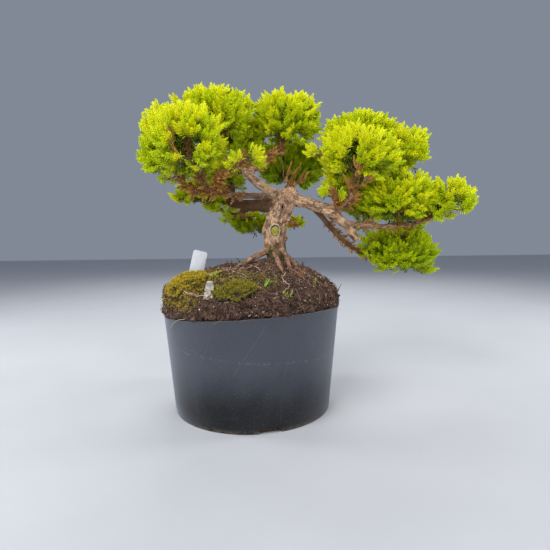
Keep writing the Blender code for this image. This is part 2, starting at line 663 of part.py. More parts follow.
def make_mass(name, routes, collection):
    """A stem that forks into ribs, a dense core on them, and sprays standing out of it.

    The core is cut clear of every bough but its own, which ends a gap short of the stem.
    """
    mass = MASSES[name]
    rule = random.Random(f"{SEED} {name}")
    centre = mm(mass.centre)
    across, deep, rise, drop = mm(mass.reach)
    bough, bough_radii = routes[mass.bough]
    onward = (bough[-1] - bough[-2]).normalized()
    start = bough[-1] + onward * GAP
    knee = start + onward * STEM_STRAIGHT
    radius = bough_radii[-1]
    fork = knee.lerp(centre, FORK_AT)
    pieces = [tube("stem", [start, knee, fork, centre], [radius] * 4, STEM_SIDES, collection)]

    for rib in range(RIBS):
        angle = math.tau * (rib + rule.uniform(0.2, 0.8)) / RIBS
        out = Vector((math.cos(angle) * across, math.sin(angle) * deep, -drop)) * RIB_SHARE
        made = twig(fork, centre + out, *RIB_RADIUS, collection)
        if all(is_own(name, v.co) and clear_of_limbs(v.co, routes) for v in made.data.vertices):
            pieces.append(made)
        else:
            bpy.data.objects.remove(made)

    count = round((across * deep + across * rise + deep * rise) / SPRAY_ROOM)
    for number in range(count):
        up = 1 - (1 - LOWEST_SPRAY) * (number + 0.5) / count
        angle = number * GOLDEN_ANGLE + rule.uniform(-0.3, 0.3)
        flat = math.sqrt(1 - up * up)
        out = Vector((flat * math.cos(angle) * across, flat * math.sin(angle) * deep,
                      up * (rise if up > 0 else drop)))
        tip = centre + out * rule.uniform(1.0, OUTER_SHARE)
        growth = (out.normalized() + Vector((0, 0, SPRAY_UPTURN))).normalized()
        foot = tip - growth * (out.length * (OUTER_SHARE - CORE_SHARE) + SPRAY_SUNK)
        width = SPRAY_WIDTH * rule.uniform(0.85, 1.15)
        roll = rule.uniform(0, math.pi)
        for _ in range(SPRAY_TRIES):
            spray = make_spray(foot, tip, roll, width, collection)
            if fits(name, spray, routes):
                pieces.append(spray)
                break
            bpy.data.objects.remove(spray)
            tip = centre.lerp(tip, SPRAY_SHRINK)
            foot = centre.lerp(foot, SPRAY_SHRINK)
    others = [other for other in routes if other != mass.bough]
    core = cut_clear(make_core(name, rule, routes, collection), others, routes, collection)
    return combined(core, pieces, "UNION")


def finish(made, kind):
    """Give a part its material and smooth its round faces."""
    material = bpy.data.materials.get(kind)
    if material is None:
        material = bpy.data.materials.new(kind)
        material.use_nodes = True
        shader = material.node_tree.nodes["Principled BSDF"]
        shader.inputs["Base Color"].default_value = (*FINISHES[kind].colour, 1.0)
        shader.inputs["Roughness"].default_value = FINISHES[kind].roughness
        shader.inputs["Metallic"].default_value = 0.0
    made.data.materials.clear()
    made.data.materials.append(material)
    if kind in ("pot", "bark"):
        made.data.shade_smooth()
        made.data.set_sharp_from_angle(angle=math.radians(40))


def main():
    for made in list(bpy.data.objects):
        bpy.data.objects.remove(made)
    parts = new_collection("potted_conifer")
    cutters = new_collection("cutters")

    finish(make_pot(parts, cutters), "pot")
    finish(make_label("label", 0, parts), "label")
    soil = make_soil("soil", 0, parts)
    soil = combined(soil, [make_label("cut", GAP, parts)], "DIFFERENCE")
    finish(soil, "soil")
    for name in MOSS:
        finish(make_moss(name, soil, parts), "moss")

    routes = {"trunk": trunk_route()}
    for name, limb in LIMBS.items():
        routes[name] = limb_route(limb, routes)
    finish(make_trunk(routes, parts), "bark")
    for bough in make_limbs(routes, parts):
        finish(bough, "bark")
    for name in MASSES:
        finish(make_mass(name, routes, parts), "foliage")


main()
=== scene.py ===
"""Looks of a small conifer trained as a bonsai, in a cut-down nursery pot.

One skin of bark covers the trunk, its roots and its boughs. Each mass of foliage grows on from its
bough's tip: twigs that branch by a seeded rule end in clumps of sprays, and each spray is a shoot
with side shoots, all set with needles. Lengths are in metres, except where a table is in
millimetres.
"""

import json
import math
import random
from collections import namedtuple
from contextlib import contextmanager

import bmesh
import bpy
import numpy as np
from mathutils import Matrix, Vector, noise
from mathutils.bvhtree import BVHTree

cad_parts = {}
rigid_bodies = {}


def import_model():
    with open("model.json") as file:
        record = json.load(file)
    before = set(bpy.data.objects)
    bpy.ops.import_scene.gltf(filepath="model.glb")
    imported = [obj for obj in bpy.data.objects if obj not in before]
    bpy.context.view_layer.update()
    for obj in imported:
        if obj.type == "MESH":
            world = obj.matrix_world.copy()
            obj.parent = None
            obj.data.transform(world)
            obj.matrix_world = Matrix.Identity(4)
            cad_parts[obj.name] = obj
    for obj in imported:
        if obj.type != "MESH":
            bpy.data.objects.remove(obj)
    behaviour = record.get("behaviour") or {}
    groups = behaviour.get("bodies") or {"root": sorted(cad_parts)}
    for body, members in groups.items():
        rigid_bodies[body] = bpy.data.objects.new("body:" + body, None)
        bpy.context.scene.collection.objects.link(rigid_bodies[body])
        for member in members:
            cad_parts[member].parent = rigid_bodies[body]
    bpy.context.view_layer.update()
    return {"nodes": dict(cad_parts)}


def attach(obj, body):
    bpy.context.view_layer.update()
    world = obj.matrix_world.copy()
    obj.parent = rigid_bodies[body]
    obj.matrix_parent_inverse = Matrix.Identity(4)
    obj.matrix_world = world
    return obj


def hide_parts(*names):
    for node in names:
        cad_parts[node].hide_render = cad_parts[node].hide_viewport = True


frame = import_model()

MM = 0.001
SEED = 41
GOLDEN_ANGLE = math.pi * (3 - math.sqrt(5))
UP = Vector((0, 0, 1))

# Trunk: x, y, z and radius in millimetres, from the ground to its rounded head.
TRUNK = [
    (30.0, 0.0, 132.0, 9.5), (26.8, 0.0, 146.0, 9.8), (24.6, 0.0, 162.0, 11.2),
    (25.0, 0.0, 178.0, 11.8), (30.0, 0.0, 193.0, 10.8), (35.6, 0.0, 205.0, 10.4),
    (38.0, 0.0, 210.5, 8.0), (39.0, 0.0, 213.5, 3.5),
]

# A limb leaves its parent part of the way up, in one direction, and reaches its tip in another.
# Places and radii are in millimetres.
Limb = namedtuple("Limb", "parent at leaves tip arrives thick thin")
ROOTS = [
    Limb("trunk", 0.26, (-0.85, -0.4, -0.4), (-21, -18, 133), (-0.75, -0.2, -0.6), 4.4, 2.4),
    Limb("trunk", 0.26, (-0.1, -0.9, -0.5), (32, -26, 133), (0.3, -0.5, -0.8), 3.8, 2.2),
    Limb("trunk", 0.29, (0.5, -0.8, -0.3), (39, -22, 133), (0.1, -0.3, -0.95), 3.2, 2.0),
    Limb("trunk", 0.24, (0.8, -0.5, -0.4), (46, -10, 133), (0.2, -0.1, -0.95), 3.2, 2.2),
    Limb("trunk", 0.22, (0.3, 0.9, -0.3), (37, 31, 133), (0.1, 0.5, -0.85), 3.8, 2.2),
    Limb("trunk", 0.22, (-0.3, 0.9, -0.3), (14, 30, 133), (-0.1, 0.4, -0.9), 3.8, 2.2),
]
LIMBS = {
    "bough_right":
        Limb("trunk", 0.71, (1.0, -0.18, 0.02), (78.5, -8.3, 193.4), (1.0, -0.2, -0.3), 6.2, 5.4),
    "stub_right":
        Limb("bough_right", 0.96, (0.75, -0.1, -0.6), (104.8, -12, 164.6), (0.62, -0.1, -0.78),
             4.9, 3.8),
    "bough_right_upper":
        Limb("bough_right", 0.90, (0.95, -0.35, 0.12), (99, -19.5, 214), (0.05, -0.1, 1.0),
             3.4, 2.2),
    "bough_right_sprig":
        Limb("bough_right_upper", 0.30, (0.2, -0.4, 1.0), (84.7, -15.8, 201), (-0.4, -0.1, 1.0),
             1.7, 1.3),
    "bough_right_inner":
        Limb("bough_right_upper", 0.35, (0.85, 0.5, 0.0), (115, 20.7, 249), (0.0, 0.1, 1.0),
             2.8, 1.9),
    "bough_right_shoulder":
        Limb("bough_right_inner", 0.42, (0.8, 0.5, 0.35), (147, 20, 230), (0.4, -0.1, 0.9),
             2.0, 1.5),
    "bough_right_back":
        Limb("bough_right_inner", 0.35, (0.2, 0.95, 0.1), (117, 48.5, 220.4), (0.0, 0.5, 0.85),
             2.3, 1.7),
    "bough_right_far":
        Limb("stub_right", 0.50, (1.0, 0.25, -0.06), (176.6, -2.1, 184.3), (1.0, -0.3, 0.35),
             3.0, 2.0),
    "bough_right_mid":
        Limb("bough_right_far", 0.50, (0.7, -0.1, 0.7), (145, -4, 180.5), (0.5, 0.0, 0.85),
             1.7, 1.4),
    "bough_right_low":
        Limb("bough_right", 0.58, (0.6, 0.5, -0.62), (119, 27, 148), (0.85, 0.2, -0.5), 3.0, 2.2),
    "bough_left_upper":
        Limb("trunk", 0.79, (-1.0, 0.3, 0.15), (-3, 10, 233), (-0.7, 0.1, 0.75), 5.2, 4.2),
    "bough_centre":
        Limb("bough_left_upper", 0.97, (0.42, 0.74, 0.5), (33, 44.8, 263), (0.75, 0.45, 0.5),
             3.3, 2.2),
    "bough_left_top":
        Limb("bough_left_upper", 0.95, (-0.7, 0.2, 0.7), (-31, 23, 267), (-0.2, 0.1, 0.95),
             3.2, 2.2),
    "bough_left_inner":
        Limb("bough_centre", 0.35, (-0.5, 0.8, 0.3), (-6.2, 45, 241), (-0.5, 0.4, 0.75), 2.2, 1.7),
    "bough_left_lower":
        Limb("trunk", 0.72, (-0.9, 0.42, 0.33), (-46.6, -19.3, 225), (-0.5, -0.45, 0.75),
             3.7, 2.3),
    "bough_left_outer":
        Limb("bough_left_lower", 0.75, (-0.95, 0.2, 0.1), (-67, -4.6, 225), (-0.5, 0.1, 0.85),
             2.1, 1.6),
    "bough_front_spray":
        Limb("bough_left_lower", 0.70, (-0.2, -0.9, 0.3), (-22, -34, 227), (0.7, -0.4, 0.5),
             1.8, 1.4),
    "bough_back_left":
        Limb("trunk", 0.62, (-0.6, 0.75, 0.2), (-26.3, 55.1, 208.4), (-0.85, 0.45, 0.3), 8.0, 5.0),
    "bough_back_low":
        Limb("bough_back_left", 0.62, (-0.1, 0.8, -0.6), (-11, 49, 193), (0.2, 0.7, -0.7),
             2.6, 1.8),
    "bough_back":
        Limb("trunk", 0.77, (0.1, 0.95, 0.1), (43, 62, 226), (0.1, 0.8, 0.6), 4.6, 3.0),
    "bough_back_sprig":
        Limb("trunk", 0.55, (0.35, 0.9, 0.0), (42, 46, 184), (0.3, 0.9, 0.1), 2.4, 1.4),
}
BEND = 1.2  # how strongly a limb keeps its end directions

# A mass of foliage: the bough that carries it, its middle, how far it reaches across, front to
# back, up and down, and how much lighter than the rest it is painted, as light and shade for where
# it stands. Its floor is how low its sprays come at places across. Fillers are smaller sprays, by
# their middle, reach and painted light. Dead sprays go by their foot, direction and length. All
# lengths are in millimetres.
Mass = namedtuple("Mass", "bough centre reach light floor fillers dead",
                  defaults=(0.0, (), (), ()))
MASSES = {
    "foliage_left_front": Mass(
        "bough_left_lower", (-53, -30, 256), (40, 30, 39, 48),
        floor=[(-90, 226), (-54, 222), (0, 225)],
        fillers=[((-52, -6, 230), (15, 12, 9), 0.35), ((-40, -33, 231), (17, 9, 8), 0.62),
                 ((-68, -20, 228), (12, 10, 7), 0.60)],
        dead=[((-64, -46, 248), (-0.25, -0.3, 0.9), 17),
              ((-58, -42, 236), (-0.5, -0.4, 0.75), 15)]),
    "foliage_left_outer": Mass(
        "bough_left_outer", (-80, -2, 255), (31, 34, 48, 48),
        floor=[(-112, 244), (-105, 234), (-88, 225), (-60, 223)],
        fillers=[((-80, 8, 227), (15, 15, 9), 0.45), ((-88, 0, 290), (14, 16, 9), 0.95),
                 ((-65, 15, 302), (16, 16, 8), 0.95)]),
    "foliage_left_top": Mass(
        "bough_left_top", (-36, 25, 293), (43, 35, 34, 36),
        fillers=[((-5, 36, 299), (13, 15, 14), 0.75)]),
    "foliage_left_inner": Mass(
        "bough_left_inner", (-12, 59, 268), (35, 32, 39, 44), -0.12,
        fillers=[((-36, 8, 229), (23, 14, 10), 0.22), ((-22, 14, 236), (16, 13, 9), 0.20)]),
    "foliage_left_low": Mass(
        "bough_back_left", (-54, 48, 214), (36, 25, 24, 20),
        floor=[(-84, 203), (-47, 202), (-25, 192)],
        fillers=[((-55, 34, 218), (24, 14, 10), 0.20), ((-21, 38, 224), (19, 14, 11), 0.15),
                 ((-40, 46, 228), (26, 14, 12), 0.10), ((-30, 44, 237), (22, 14, 10), 0.10),
                 ((-76, 40, 210), (13, 12, 9), 0.7)]),
    "foliage_front_spray": Mass(
        "bough_front_spray", (-3, -41, 238), (24, 17, 18, 18), 0.10,
        floor=[(-30, 227), (20, 228)]),
    "foliage_centre_top": Mass(
        "bough_centre", (39, 51, 295), (44, 38, 33, 46), 0.09,
        fillers=[((8, 45, 308), (10, 12, 9), 0.9)],
        dead=[((35, 31, 219), (0.62, 0.05, 0.72), 27), ((44, 32, 221), (0.75, 0.0, 0.5), 20),
              ((36, 30, 226), (0.35, 0.1, 0.9), 18)]),
    "foliage_centre_back": Mass(
        "bough_back", (45, 84, 247), (46, 33, 40, 38), -0.46,
        floor=[(20, 214), (60, 220), (80, 232)]),
    "foliage_back_low": Mass(
        "bough_back_low", (-4, 67, 182), (31, 26, 20, 24), -0.28,
        floor=[(-38, 187), (-21, 181), (-4, 170), (12, 166), (30, 168)],
        fillers=[((-36, 56, 200), (20, 16, 11), 0.30), ((-22, 60, 188), (17, 16, 12), 0.55)]),
    "foliage_back_sprig": Mass(
        "bough_back_sprig", (48, 58, 183), (15, 15, 13, 13), -0.10,
        floor=[(30, 178), (60, 180)]),
    "foliage_right_front": Mass(
        "bough_right_upper", (104, -23, 245), (46, 31, 31, 44), 0.14,
        floor=[(52, 239), (63, 224), (74, 212), (88, 201), (112, 206)],
        fillers=[((66, -26, 244), (16, 14, 9), 0.80), ((70, -24, 232), (13, 12, 8), 0.62)],
        dead=[((99, -34, 222), (0.1, -0.5, 0.9), 19), ((103, -32, 214), (0.8, -0.4, 0.45), 17),
              ((96, -30, 212), (-0.6, -0.4, 0.6), 14)]),
    "foliage_right_sprig": Mass(
        "bough_right_sprig", (80, -16, 208), (20, 13, 13, 10),
        fillers=[((88, -6, 214), (17, 13, 15), 0.55)]),
    "foliage_right_top": Mass(
        "bough_right_inner", (113, 20, 272), (45, 33, 26, 32)),
    "foliage_right_back": Mass(
        "bough_right_back", (116, 63, 247), (42, 31, 32, 44), -0.10,
        fillers=[((110, 38, 216), (22, 15, 14), 0.25)]),
    "foliage_right_shoulder": Mass(
        "bough_right_shoulder", (156, 8, 253), (28, 32, 27, 38)),
    "foliage_right_mid": Mass(
        "bough_right_mid", (145, -5, 205), (42, 30, 35, 36), 0.04,
        floor=[(107, 178), (185, 179)],
        fillers=[((125, 18, 191), (26, 15, 13), 0.30), ((165, 14, 184), (26, 15, 9), 0.40),
                 ((112, 30, 195), (17, 13, 15), 0.20), ((115, 22, 177), (14, 11, 12), 0.15)]),
    "foliage_right_far": Mass(
        "bough_right_far", (193, -5, 202), (33, 28, 26, 30),
        floor=[(160, 186), (187, 182), (206, 191), (224, 200)],
        fillers=[((181, 0, 189), (22, 14, 10), 0.60)]),
    "foliage_right_low": Mass(
        "bough_right_low", (158, 31, 148), (45, 33, 36, 37), -0.32,
        floor=[(94, 173), (121, 149), (150, 128), (199, 128)],
        fillers=[((131, 22, 160), (20, 16, 15), 0.35), ((146, 24, 139), (22, 18, 15), 0.60),
                 ((124, 22, 149), (14, 12, 12), 0.50), ((158, 20, 168), (24, 15, 10), 0.45)]),
}
OUTER_SHARE = 1.09  # where the furthest sprays end
OWN_MARGIN = 0.07  # how far into a neighbour a mass may grow
LIMB_MARGIN = 0.8 * MM

# Camera: where it stands, how far it looks down, its roll, its lens and its sensor in millimetres.
CAMERA_PLACE = (23.93 * MM, -439.97 * MM, 169.41 * MM)
CAMERA_DOWN = math.radians(5.06)
CAMERA_ROLL = math.radians(0.673)
CAMERA_LENS = 28.8
CAMERA_SENSOR = 36
CAMERA_CLIP = 0.02


def mm(place):
    """A place in millimetres as a vector in metres."""
    return Vector(place) * MM


# ---- node graphs

def operators(operation):
    """An operator of Wire, and its reflected form."""
    def forward(self, other):
        return self.combined(operation, self, other)

    def reflected(self, other):
        return self.combined(operation, other, self)
    return forward, reflected


class Wire:
    """A socket of a node graph. Arithmetic on it adds Math nodes, or Vector Math on a vector."""

    def __init__(self, graph, socket):
        self.graph = graph
        self.socket = socket

    def __getitem__(self, name):
        return Wire(self.graph, self.socket.node.outputs[name])

    def combined(self, operation, *values):
        vectors = [value for value in values
                   if isinstance(value, Wire) and value.socket.type == "VECTOR"]
        if not vectors:
            return self.graph.maths(operation, *values)
        if operation == "MULTIPLY" and len(vectors) == 1:
            scale = values[1] if vectors[0] is values[0] else values[0]
            return self.graph.vector("SCALE", {0: vectors[0], "Scale": scale})
        return self.graph.vector(operation, enumerate(values))

    __add__, __radd__ = operators("ADD")
    __sub__, __rsub__ = operators("SUBTRACT")
    __mul__, __rmul__ = operators("MULTIPLY")
    __truediv__, __rtruediv__ = operators("DIVIDE")

    def __neg__(self):
        return self * -1.0

    def __abs__(self):
        return self.graph.maths("ABSOLUTE", self)


def rgba(value):
    """A colour of three parts with its alpha, and anything else as it is."""
    return (*value, 1.0) if isinstance(value, tuple) and len(value) == 3 else value


class Graph:
    """A node tree, written as calls and arithmetic."""

    def __init__(self, tree):
        self.tree = tree
        tree.nodes.clear()

    def node(self, kind, settings=(), sockets=(), output=0):
        """Add a node: its settings first, then the values or wires of its sockets."""
        made = self.tree.nodes.new(kind)
        for name, value in dict(settings).items():
            setattr(made, name, value)
        for name, value in dict(sockets).items():
            socket = made.inputs[name]
            if isinstance(value, Wire):
                self.tree.links.new(value.socket, socket)
            else:
                socket.default_value = value
        return Wire(self, made.outputs[output]) if made.outputs else made

    def maths(self, operation, *values):
        """A Math node on these values."""
        return self.node("ShaderNodeMath", {"operation": operation}, enumerate(values))

    def vector(self, operation, sockets):
        """A Vector Math node on these sockets."""
        return self.node("ShaderNodeVectorMath", {"operation": operation}, sockets)

    def combine(self, *parts):
        """A vector from its x, y and z."""
        return self.node("ShaderNodeCombineXYZ", (), enumerate(parts))

    def step(self, value, low, high):
        """Rises smoothly from 0 to 1 as a value goes from low to high, or falls if low is more."""
        if low > high:
            return 1.0 - self.step(value, high, low)
        return self.node("ShaderNodeMapRange",
                         {"interpolation_type": "SMOOTHSTEP", "data_type": "FLOAT"},
                         {"Value": value, "From Min": low, "From Max": high})

    def mix(self, share, first, second):
        """Colour mixed from two, by a share of the second."""
        return self.node("ShaderNodeMix", {"data_type": "RGBA"},
                         {0: share, 6: rgba(first), 7: rgba(second)}, output=2)

    def layered(self, colour, *layers):
        """A colour with others laid over it in turn, each by its share."""
        for share, other in layers:
            colour = self.mix(share, colour, other)
        return colour

    def parts(self, vector):
        """The x, y and z of a vector."""
        split = self.node("ShaderNodeSeparateXYZ", (), {0: vector})
        return split["X"], split["Y"], split["Z"]

    def noise(self, place, scale, detail=3.0, roughness=0.55):
        """Noise from 0 to 1, with so many features to a metre."""
        return self.node("ShaderNodeTexNoise", (), {
            "Vector": place, "Scale": scale, "Detail": detail, "Roughness": roughness})

    def attribute(self, name, output="Fac"):
        """A value that is stored at each point of the mesh."""
        return self.node("ShaderNodeAttribute", {"attribute_name": name}, output=output)

    def stored(self, name, kind="FLOAT"):
        """A value that a geometry tree's mesh brings along."""
        return self.node("GeometryNodeInputNamedAttribute", {"data_type": kind}, {"Name": name})

    def chance(self, low, high, seed, kind="FLOAT"):
        """A random number or vector for each point or instance."""
        numbers, output = ((2, 3), 1) if kind == "FLOAT" else ((0, 1), 0)
        return self.node("FunctionNodeRandomValue", {"data_type": kind}, {
            numbers[0]: low, numbers[1]: high, "Seed": seed}, output=output)

    def mesh_of(self, thing):
        """The mesh of an object that a tree is given."""
        return self.node("GeometryNodeObjectInfo", {"transform_space": "ORIGINAL"},
                         {0: thing})["Geometry"]

    def finish(self, instances, material):
        """The end of a tree: instances made real, with their material."""
        real = self.node("GeometryNodeRealizeInstances", (), {0: instances})
        real = self.node("GeometryNodeSetMaterial", (), {0: real, "Material": material})
        self.node("NodeGroupOutput", (), {0: real})


def new_tree(name, **inputs):
    """A geometry node tree with named inputs: each a kind of socket, or a number to start from."""
    tree = bpy.data.node_groups.new(name, "GeometryNodeTree")
    for label, value in inputs.items():
        kind = {int: "Int", float: "Float"}.get(type(value), value)
        socket = tree.interface.new_socket(label, in_out="INPUT", socket_type=f"NodeSocket{kind}")
        if kind != value:
            socket.default_value = value
    tree.interface.new_socket("Made", in_out="OUTPUT", socket_type="NodeSocketGeometry")
    graph = Graph(tree)
    return tree, graph, graph.node("NodeGroupInput")


def new_material(name, build=None, **constants):
    """A material on one Principled shader. build(graph, place) returns {socket: wire or value}."""
    material = bpy.data.materials.new(name)
    material.use_nodes = True
    graph = Graph(material.node_tree)
    sockets = build(graph, graph.node("ShaderNodeTexCoord", output="Object")) if build else {}
    if "Bump" in sockets:
        height, depth = sockets.pop("Bump")
        sockets["Normal"] = graph.node("ShaderNodeBump", (), {
            "Height": height, "Distance": depth, "Strength": 1.0})
    sockets = {socket: rgba(value) for socket, value in {**constants, **sockets}.items()}
    shader = graph.node("ShaderNodeBsdfPrincipled", (), sockets)
    graph.node("ShaderNodeOutputMaterial", (), {"Surface": shader})
    return material


GRAIN_DEPTH = 0.12 * MM


def grained(name, colour, other, roughness, scale=900.0):
    """A finish that wanders between two colours, with a grain."""
    def build(graph, place):
        fine = graph.noise(place, scale, 3.0, 0.6)
        return {"Base Color": graph.mix(graph.step(fine, 0.38, 0.62), colour, other),
                "Roughness": roughness, "Bump": (fine, GRAIN_DEPTH)}
    return new_material(name, build)


# ---- meshes

def placed(name, data):
    """A new object at the origin."""
    made = bpy.data.objects.new(name, data)
    bpy.context.scene.collection.objects.link(made)
    return made


def object_from(name, points, faces):
    """An object at the origin with a mesh of these points and faces."""
    mesh = bpy.data.meshes.new(name)
    mesh.from_pydata([tuple(point) for point in points], [], [tuple(face) for face in faces])
    return placed(name, mesh)


@contextmanager
def opened(mesh):
    """A mesh opened for editing, and written back at the end."""
    body = bmesh.new()
    body.from_mesh(mesh)
    yield body
    body.to_mesh(mesh)
    body.free()


def evaluated(made, name=None):
    """The object with its modifiers or curve turned into a plain mesh."""
    name = name or made.name
    graph = bpy.context.evaluated_depsgraph_get()
    mesh = bpy.data.meshes.new_from_object(made.evaluated_get(graph), depsgraph=graph)
    bpy.data.objects.remove(made)
    mesh.name = name
    return placed(name, mesh)


def grown(made, tree, inputs):
    """What a node tree makes of an object, as a plain mesh."""
    modifier = made.modifiers.new(tree.name, "NODES")
    modifier.node_group = tree
    for item in tree.interface.items_tree:
        if item.in_out == "INPUT" and item.name in inputs:
            modifier[item.identifier] = inputs[item.name]
    return evaluated(made)


def remeshed(made, name, voxel, rounds):
    """The object's outside as one even, softened skin."""
    remesh = made.modifiers.new("skin", "REMESH")
    remesh.mode = "VOXEL"
    remesh.voxel_size = voxel
    soften = made.modifiers.new("soften", "SMOOTH")
    soften.iterations = rounds
    return evaluated(made, name)


def joined(name, objects):
    """Several mesh objects as one, with all their materials."""
    active = objects[0]
    with bpy.context.temp_override(active_object=active, selected_editable_objects=objects):
        bpy.ops.object.join()
    active.name = active.data.name = name
    return active


def coordinates(made):
    """A mesh's points as rows of an array."""
    flat = np.zeros(len(made.data.vertices) * 3, np.float32)
    made.data.vertices.foreach_get("co", flat)
    return flat.reshape(-1, 3).astype(float)


def move_to(made, points):
    """Move a mesh's points to these rows of an array."""
    made.data.vertices.foreach_set("co", np.asarray(points, np.float32).ravel())
    made.data.update()


def give_values(made, name, values):
    """Store a number or a vector at each point of a mesh."""
    values = np.asarray(values, np.float32)
    kind, field = ("FLOAT_VECTOR", "vector") if values.ndim == 2 else ("FLOAT", "value")
    made.data.attributes.new(name, kind, "POINT").data.foreach_set(field, values.ravel())


def smooth(values, low, high):
    """Rises smoothly from 0 to 1 as values go from low to high, or falls if low is more."""
    t = np.clip((values - low) / (high - low), 0, 1)
    return t * t * (3 - 2 * t)


def normals_of(made):
    """The normals at a mesh's points, as rows of an array."""
    flat = np.zeros(len(made.data.vertices) * 3, np.float32)
    made.data.vertex_normals.foreach_get("vector", flat)
    return flat.reshape(-1, 3).astype(float)


def noise_at(points, size):
    """Smooth noise, from about -1 to 1, at each point."""
    return np.array([noise.noise(Vector(point)) for point in points / size])


def rough_at(points, size, octaves=4):
    """Rough noise of several sizes at each point."""
    return np.array([noise.fractal(Vector(point), 0.9, 2.1, octaves) for point in points / size])


def crack_at(points, size):
    """1 in the cracks between cells, 0 on them, at each point."""
    edges = []
    for point in points / size:
        near, _ = noise.voronoi(Vector(point))
        edges.append(near[1] - near[0])
    return 1 - smooth(np.array(edges), 0.03, 0.30)


def tubes(name, routes, sides=16, cyclic=False):
    """One mesh of closed tubes, each along a route of points and radii."""
    curve = bpy.data.curves.new(name, "CURVE")
    curve.dimensions = "3D"
    curve.bevel_depth = 1.0
    curve.bevel_resolution = sides // 2 - 2
    curve.use_fill_caps = not cyclic
    for points, radii in routes:
        spline = curve.splines.new("POLY")
        spline.points.add(len(points) - 1)
        spline.use_cyclic_u = cyclic
        spline.points.foreach_set("co", [n for point in points for n in (*point, 1.0)])
        spline.points.foreach_set("radius", list(radii))
    return evaluated(placed(name, curve))


def dress(piece, material, slot, *nodes):
    """Give a finished piece its material and hide the nodes it stands for; its slot is not used."""
    if material is not None:
        piece.data.materials.clear()
        piece.data.materials.append(material)
    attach(piece, "root")
    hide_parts(*nodes)


# ---- limbs

TRUNK_PARTS = 8
LIMB_STEPS = 28


def bend_between(start, leaving, end, arriving, steps):
    """Points of a smooth bend from one place and direction to another."""
    route = []
    for step in range(steps + 1):
        t = step / steps
        route.append((2 * t ** 3 - 3 * t ** 2 + 1) * start + (t ** 3 - 2 * t ** 2 + t) * leaving
                     + (3 * t ** 2 - 2 * t ** 3) * end + (t ** 3 - t ** 2) * arriving)
    return route


def through(marks, steps):
    """Points of a smooth line through all of these marks."""
    ends = [2 * marks[0] - marks[1], *marks, 2 * marks[-1] - marks[-2]]
    points = []
    for before, start, end, after in zip(ends, ends[1:], ends[2:], ends[3:]):
        points += bend_between(start, (end - before) / 2, end, (after - start) / 2, steps)[:-1]
    return points + [marks[-1]]


def trunk_route():
    """Points and radii up the trunk."""
    marks = through([Vector(mark) * MM for mark in TRUNK], TRUNK_PARTS)
    return [mark.xyz for mark in marks], [mark.w for mark in marks]


def limb_route(limb, routes):
    """Points and radii along a limb, from its parent's middle to its own tip."""
    parent, _ = routes[limb.parent]
    place = limb.at * (len(parent) - 1)
    below = min(int(place), len(parent) - 2)
    start = parent[below].lerp(parent[below + 1], place - below)
    end = mm(limb.tip)
    strength = (end - start).length * BEND
    route = bend_between(start, Vector(limb.leaves).normalized() * strength,
                         end, Vector(limb.arrives).normalized() * strength, LIMB_STEPS)
    radii = np.linspace(limb.thick, limb.thin, LIMB_STEPS + 1) * MM
    return route, list(radii)


def all_routes():
    """The trunk, then the boughs and the roots by name."""
    routes = {"trunk": trunk_route()}
    for name, limb in LIMBS.items():
        routes[name] = limb_route(limb, routes)
    for number, root in enumerate(ROOTS):
        routes[f"root_{number}"] = limb_route(root, routes)
    return routes


ROUTES = all_routes()
LIMB_STARTS = np.array([point for route, _ in ROUTES.values() for point in route[:-1]])
LIMB_ALONG = np.array([point for route, _ in ROUTES.values() for point in route[1:]]) - LIMB_STARTS
LIMB_RADII = np.array([radius for _, radii in ROUTES.values() for radius in radii[:-1]])


def from_limbs(places):
    """Each place's offset from the start of each stretch of limb, and from the stretch's middle."""
    offsets = places[:, None] - LIMB_STARTS
    squares = (LIMB_ALONG ** 2).sum(1)
    part = np.clip((offsets * LIMB_ALONG).sum(2) / squares, 0, 1)
    return offsets, np.linalg.norm(offsets - LIMB_ALONG * part[..., None], axis=2)


def clear_of_limbs(places):
    """Which places keep clear of the trunk and of every bough."""
    _, away = from_limbs(places)
    return (away > LIMB_RADII + LIMB_MARGIN).all(1)


# ---- foliage

QUARTERS = (0, 0.25, 0.5, 0.75, 1.0)
STEM_REACH = (0.15, 0.35)  # where a mass's stem bends and ends: of its drop, of its rise
LOWEST_CLUMP = -0.90
CLUMP_ROOM = 118 * MM * MM  # a mass has a clump to so much of its reaches' products
CLUMP_SWING = 0.35  # how far a clump strays from its turn round the mass
CLUMP_FOOT = (0.32, 0.54)  # how far out in a mass a clump's sprays leave their twig
CLUMP_LEAST = 4 * MM  # a foot that fits nowhere draws in no nearer to the middle
CLUMP_LIFT = (0.85, 0.75)  # how much its sprays turn upward, at the bottom and at the top
CLUMP_SPREAD = (22, 50)  # degrees between a clump's middle and its sprays
CLUMP_HEART = (0, 12)  # the same for its middle spray
CLUMP_REACH = (0.80, 1.04)  # how far out its tips come
CLUMP_LIGHT = (0.66, 0.30, 0.24)  # how light its painted tone is, lighter at the top as painted light, and by how much it varies
SPRAYS = (3, 5)
SPRAY_PARTS = 6
SPRAY_LEAST = 8 * MM
SPRAY_MOST = 32 * MM
SPRAY_STEP = 1.0 * MM
SPRAY_SPARE = 2.0 * MM  # by how much it stops short of where it no longer fits
SPRAY_REACH = (0.93, 1.03)
SPRAY_LIFT = 0.20
SPRAY_TILT = 55  # degrees that a spray's side shoots may lie aslant
UPRIGHT = 0.2  # a spray so near upright has side shoots in any plane
SIDE_SHOOTS = (0.24, 0.40, 0.56)
SIDE_SHIFT = 0.04
SIDE_ANGLE = (40, 56)
SIDE_SHARE = 0.86
SIDE_REACH = (0.85, 1.1)
SIDE_OFF = (-0.2, 0.25)  # how far a side shoot leaves its spray's plane
SIDE_BEND = 0.38  # how far it bends back along the spray
SHOOT_LEAST = 7.0 * MM
YOUNG_LENGTH = 8.5 * MM  # of the dense, blunt end of a shoot
YOUNG_MOST = 0.75
TWIG_STEP = 4.0 * MM
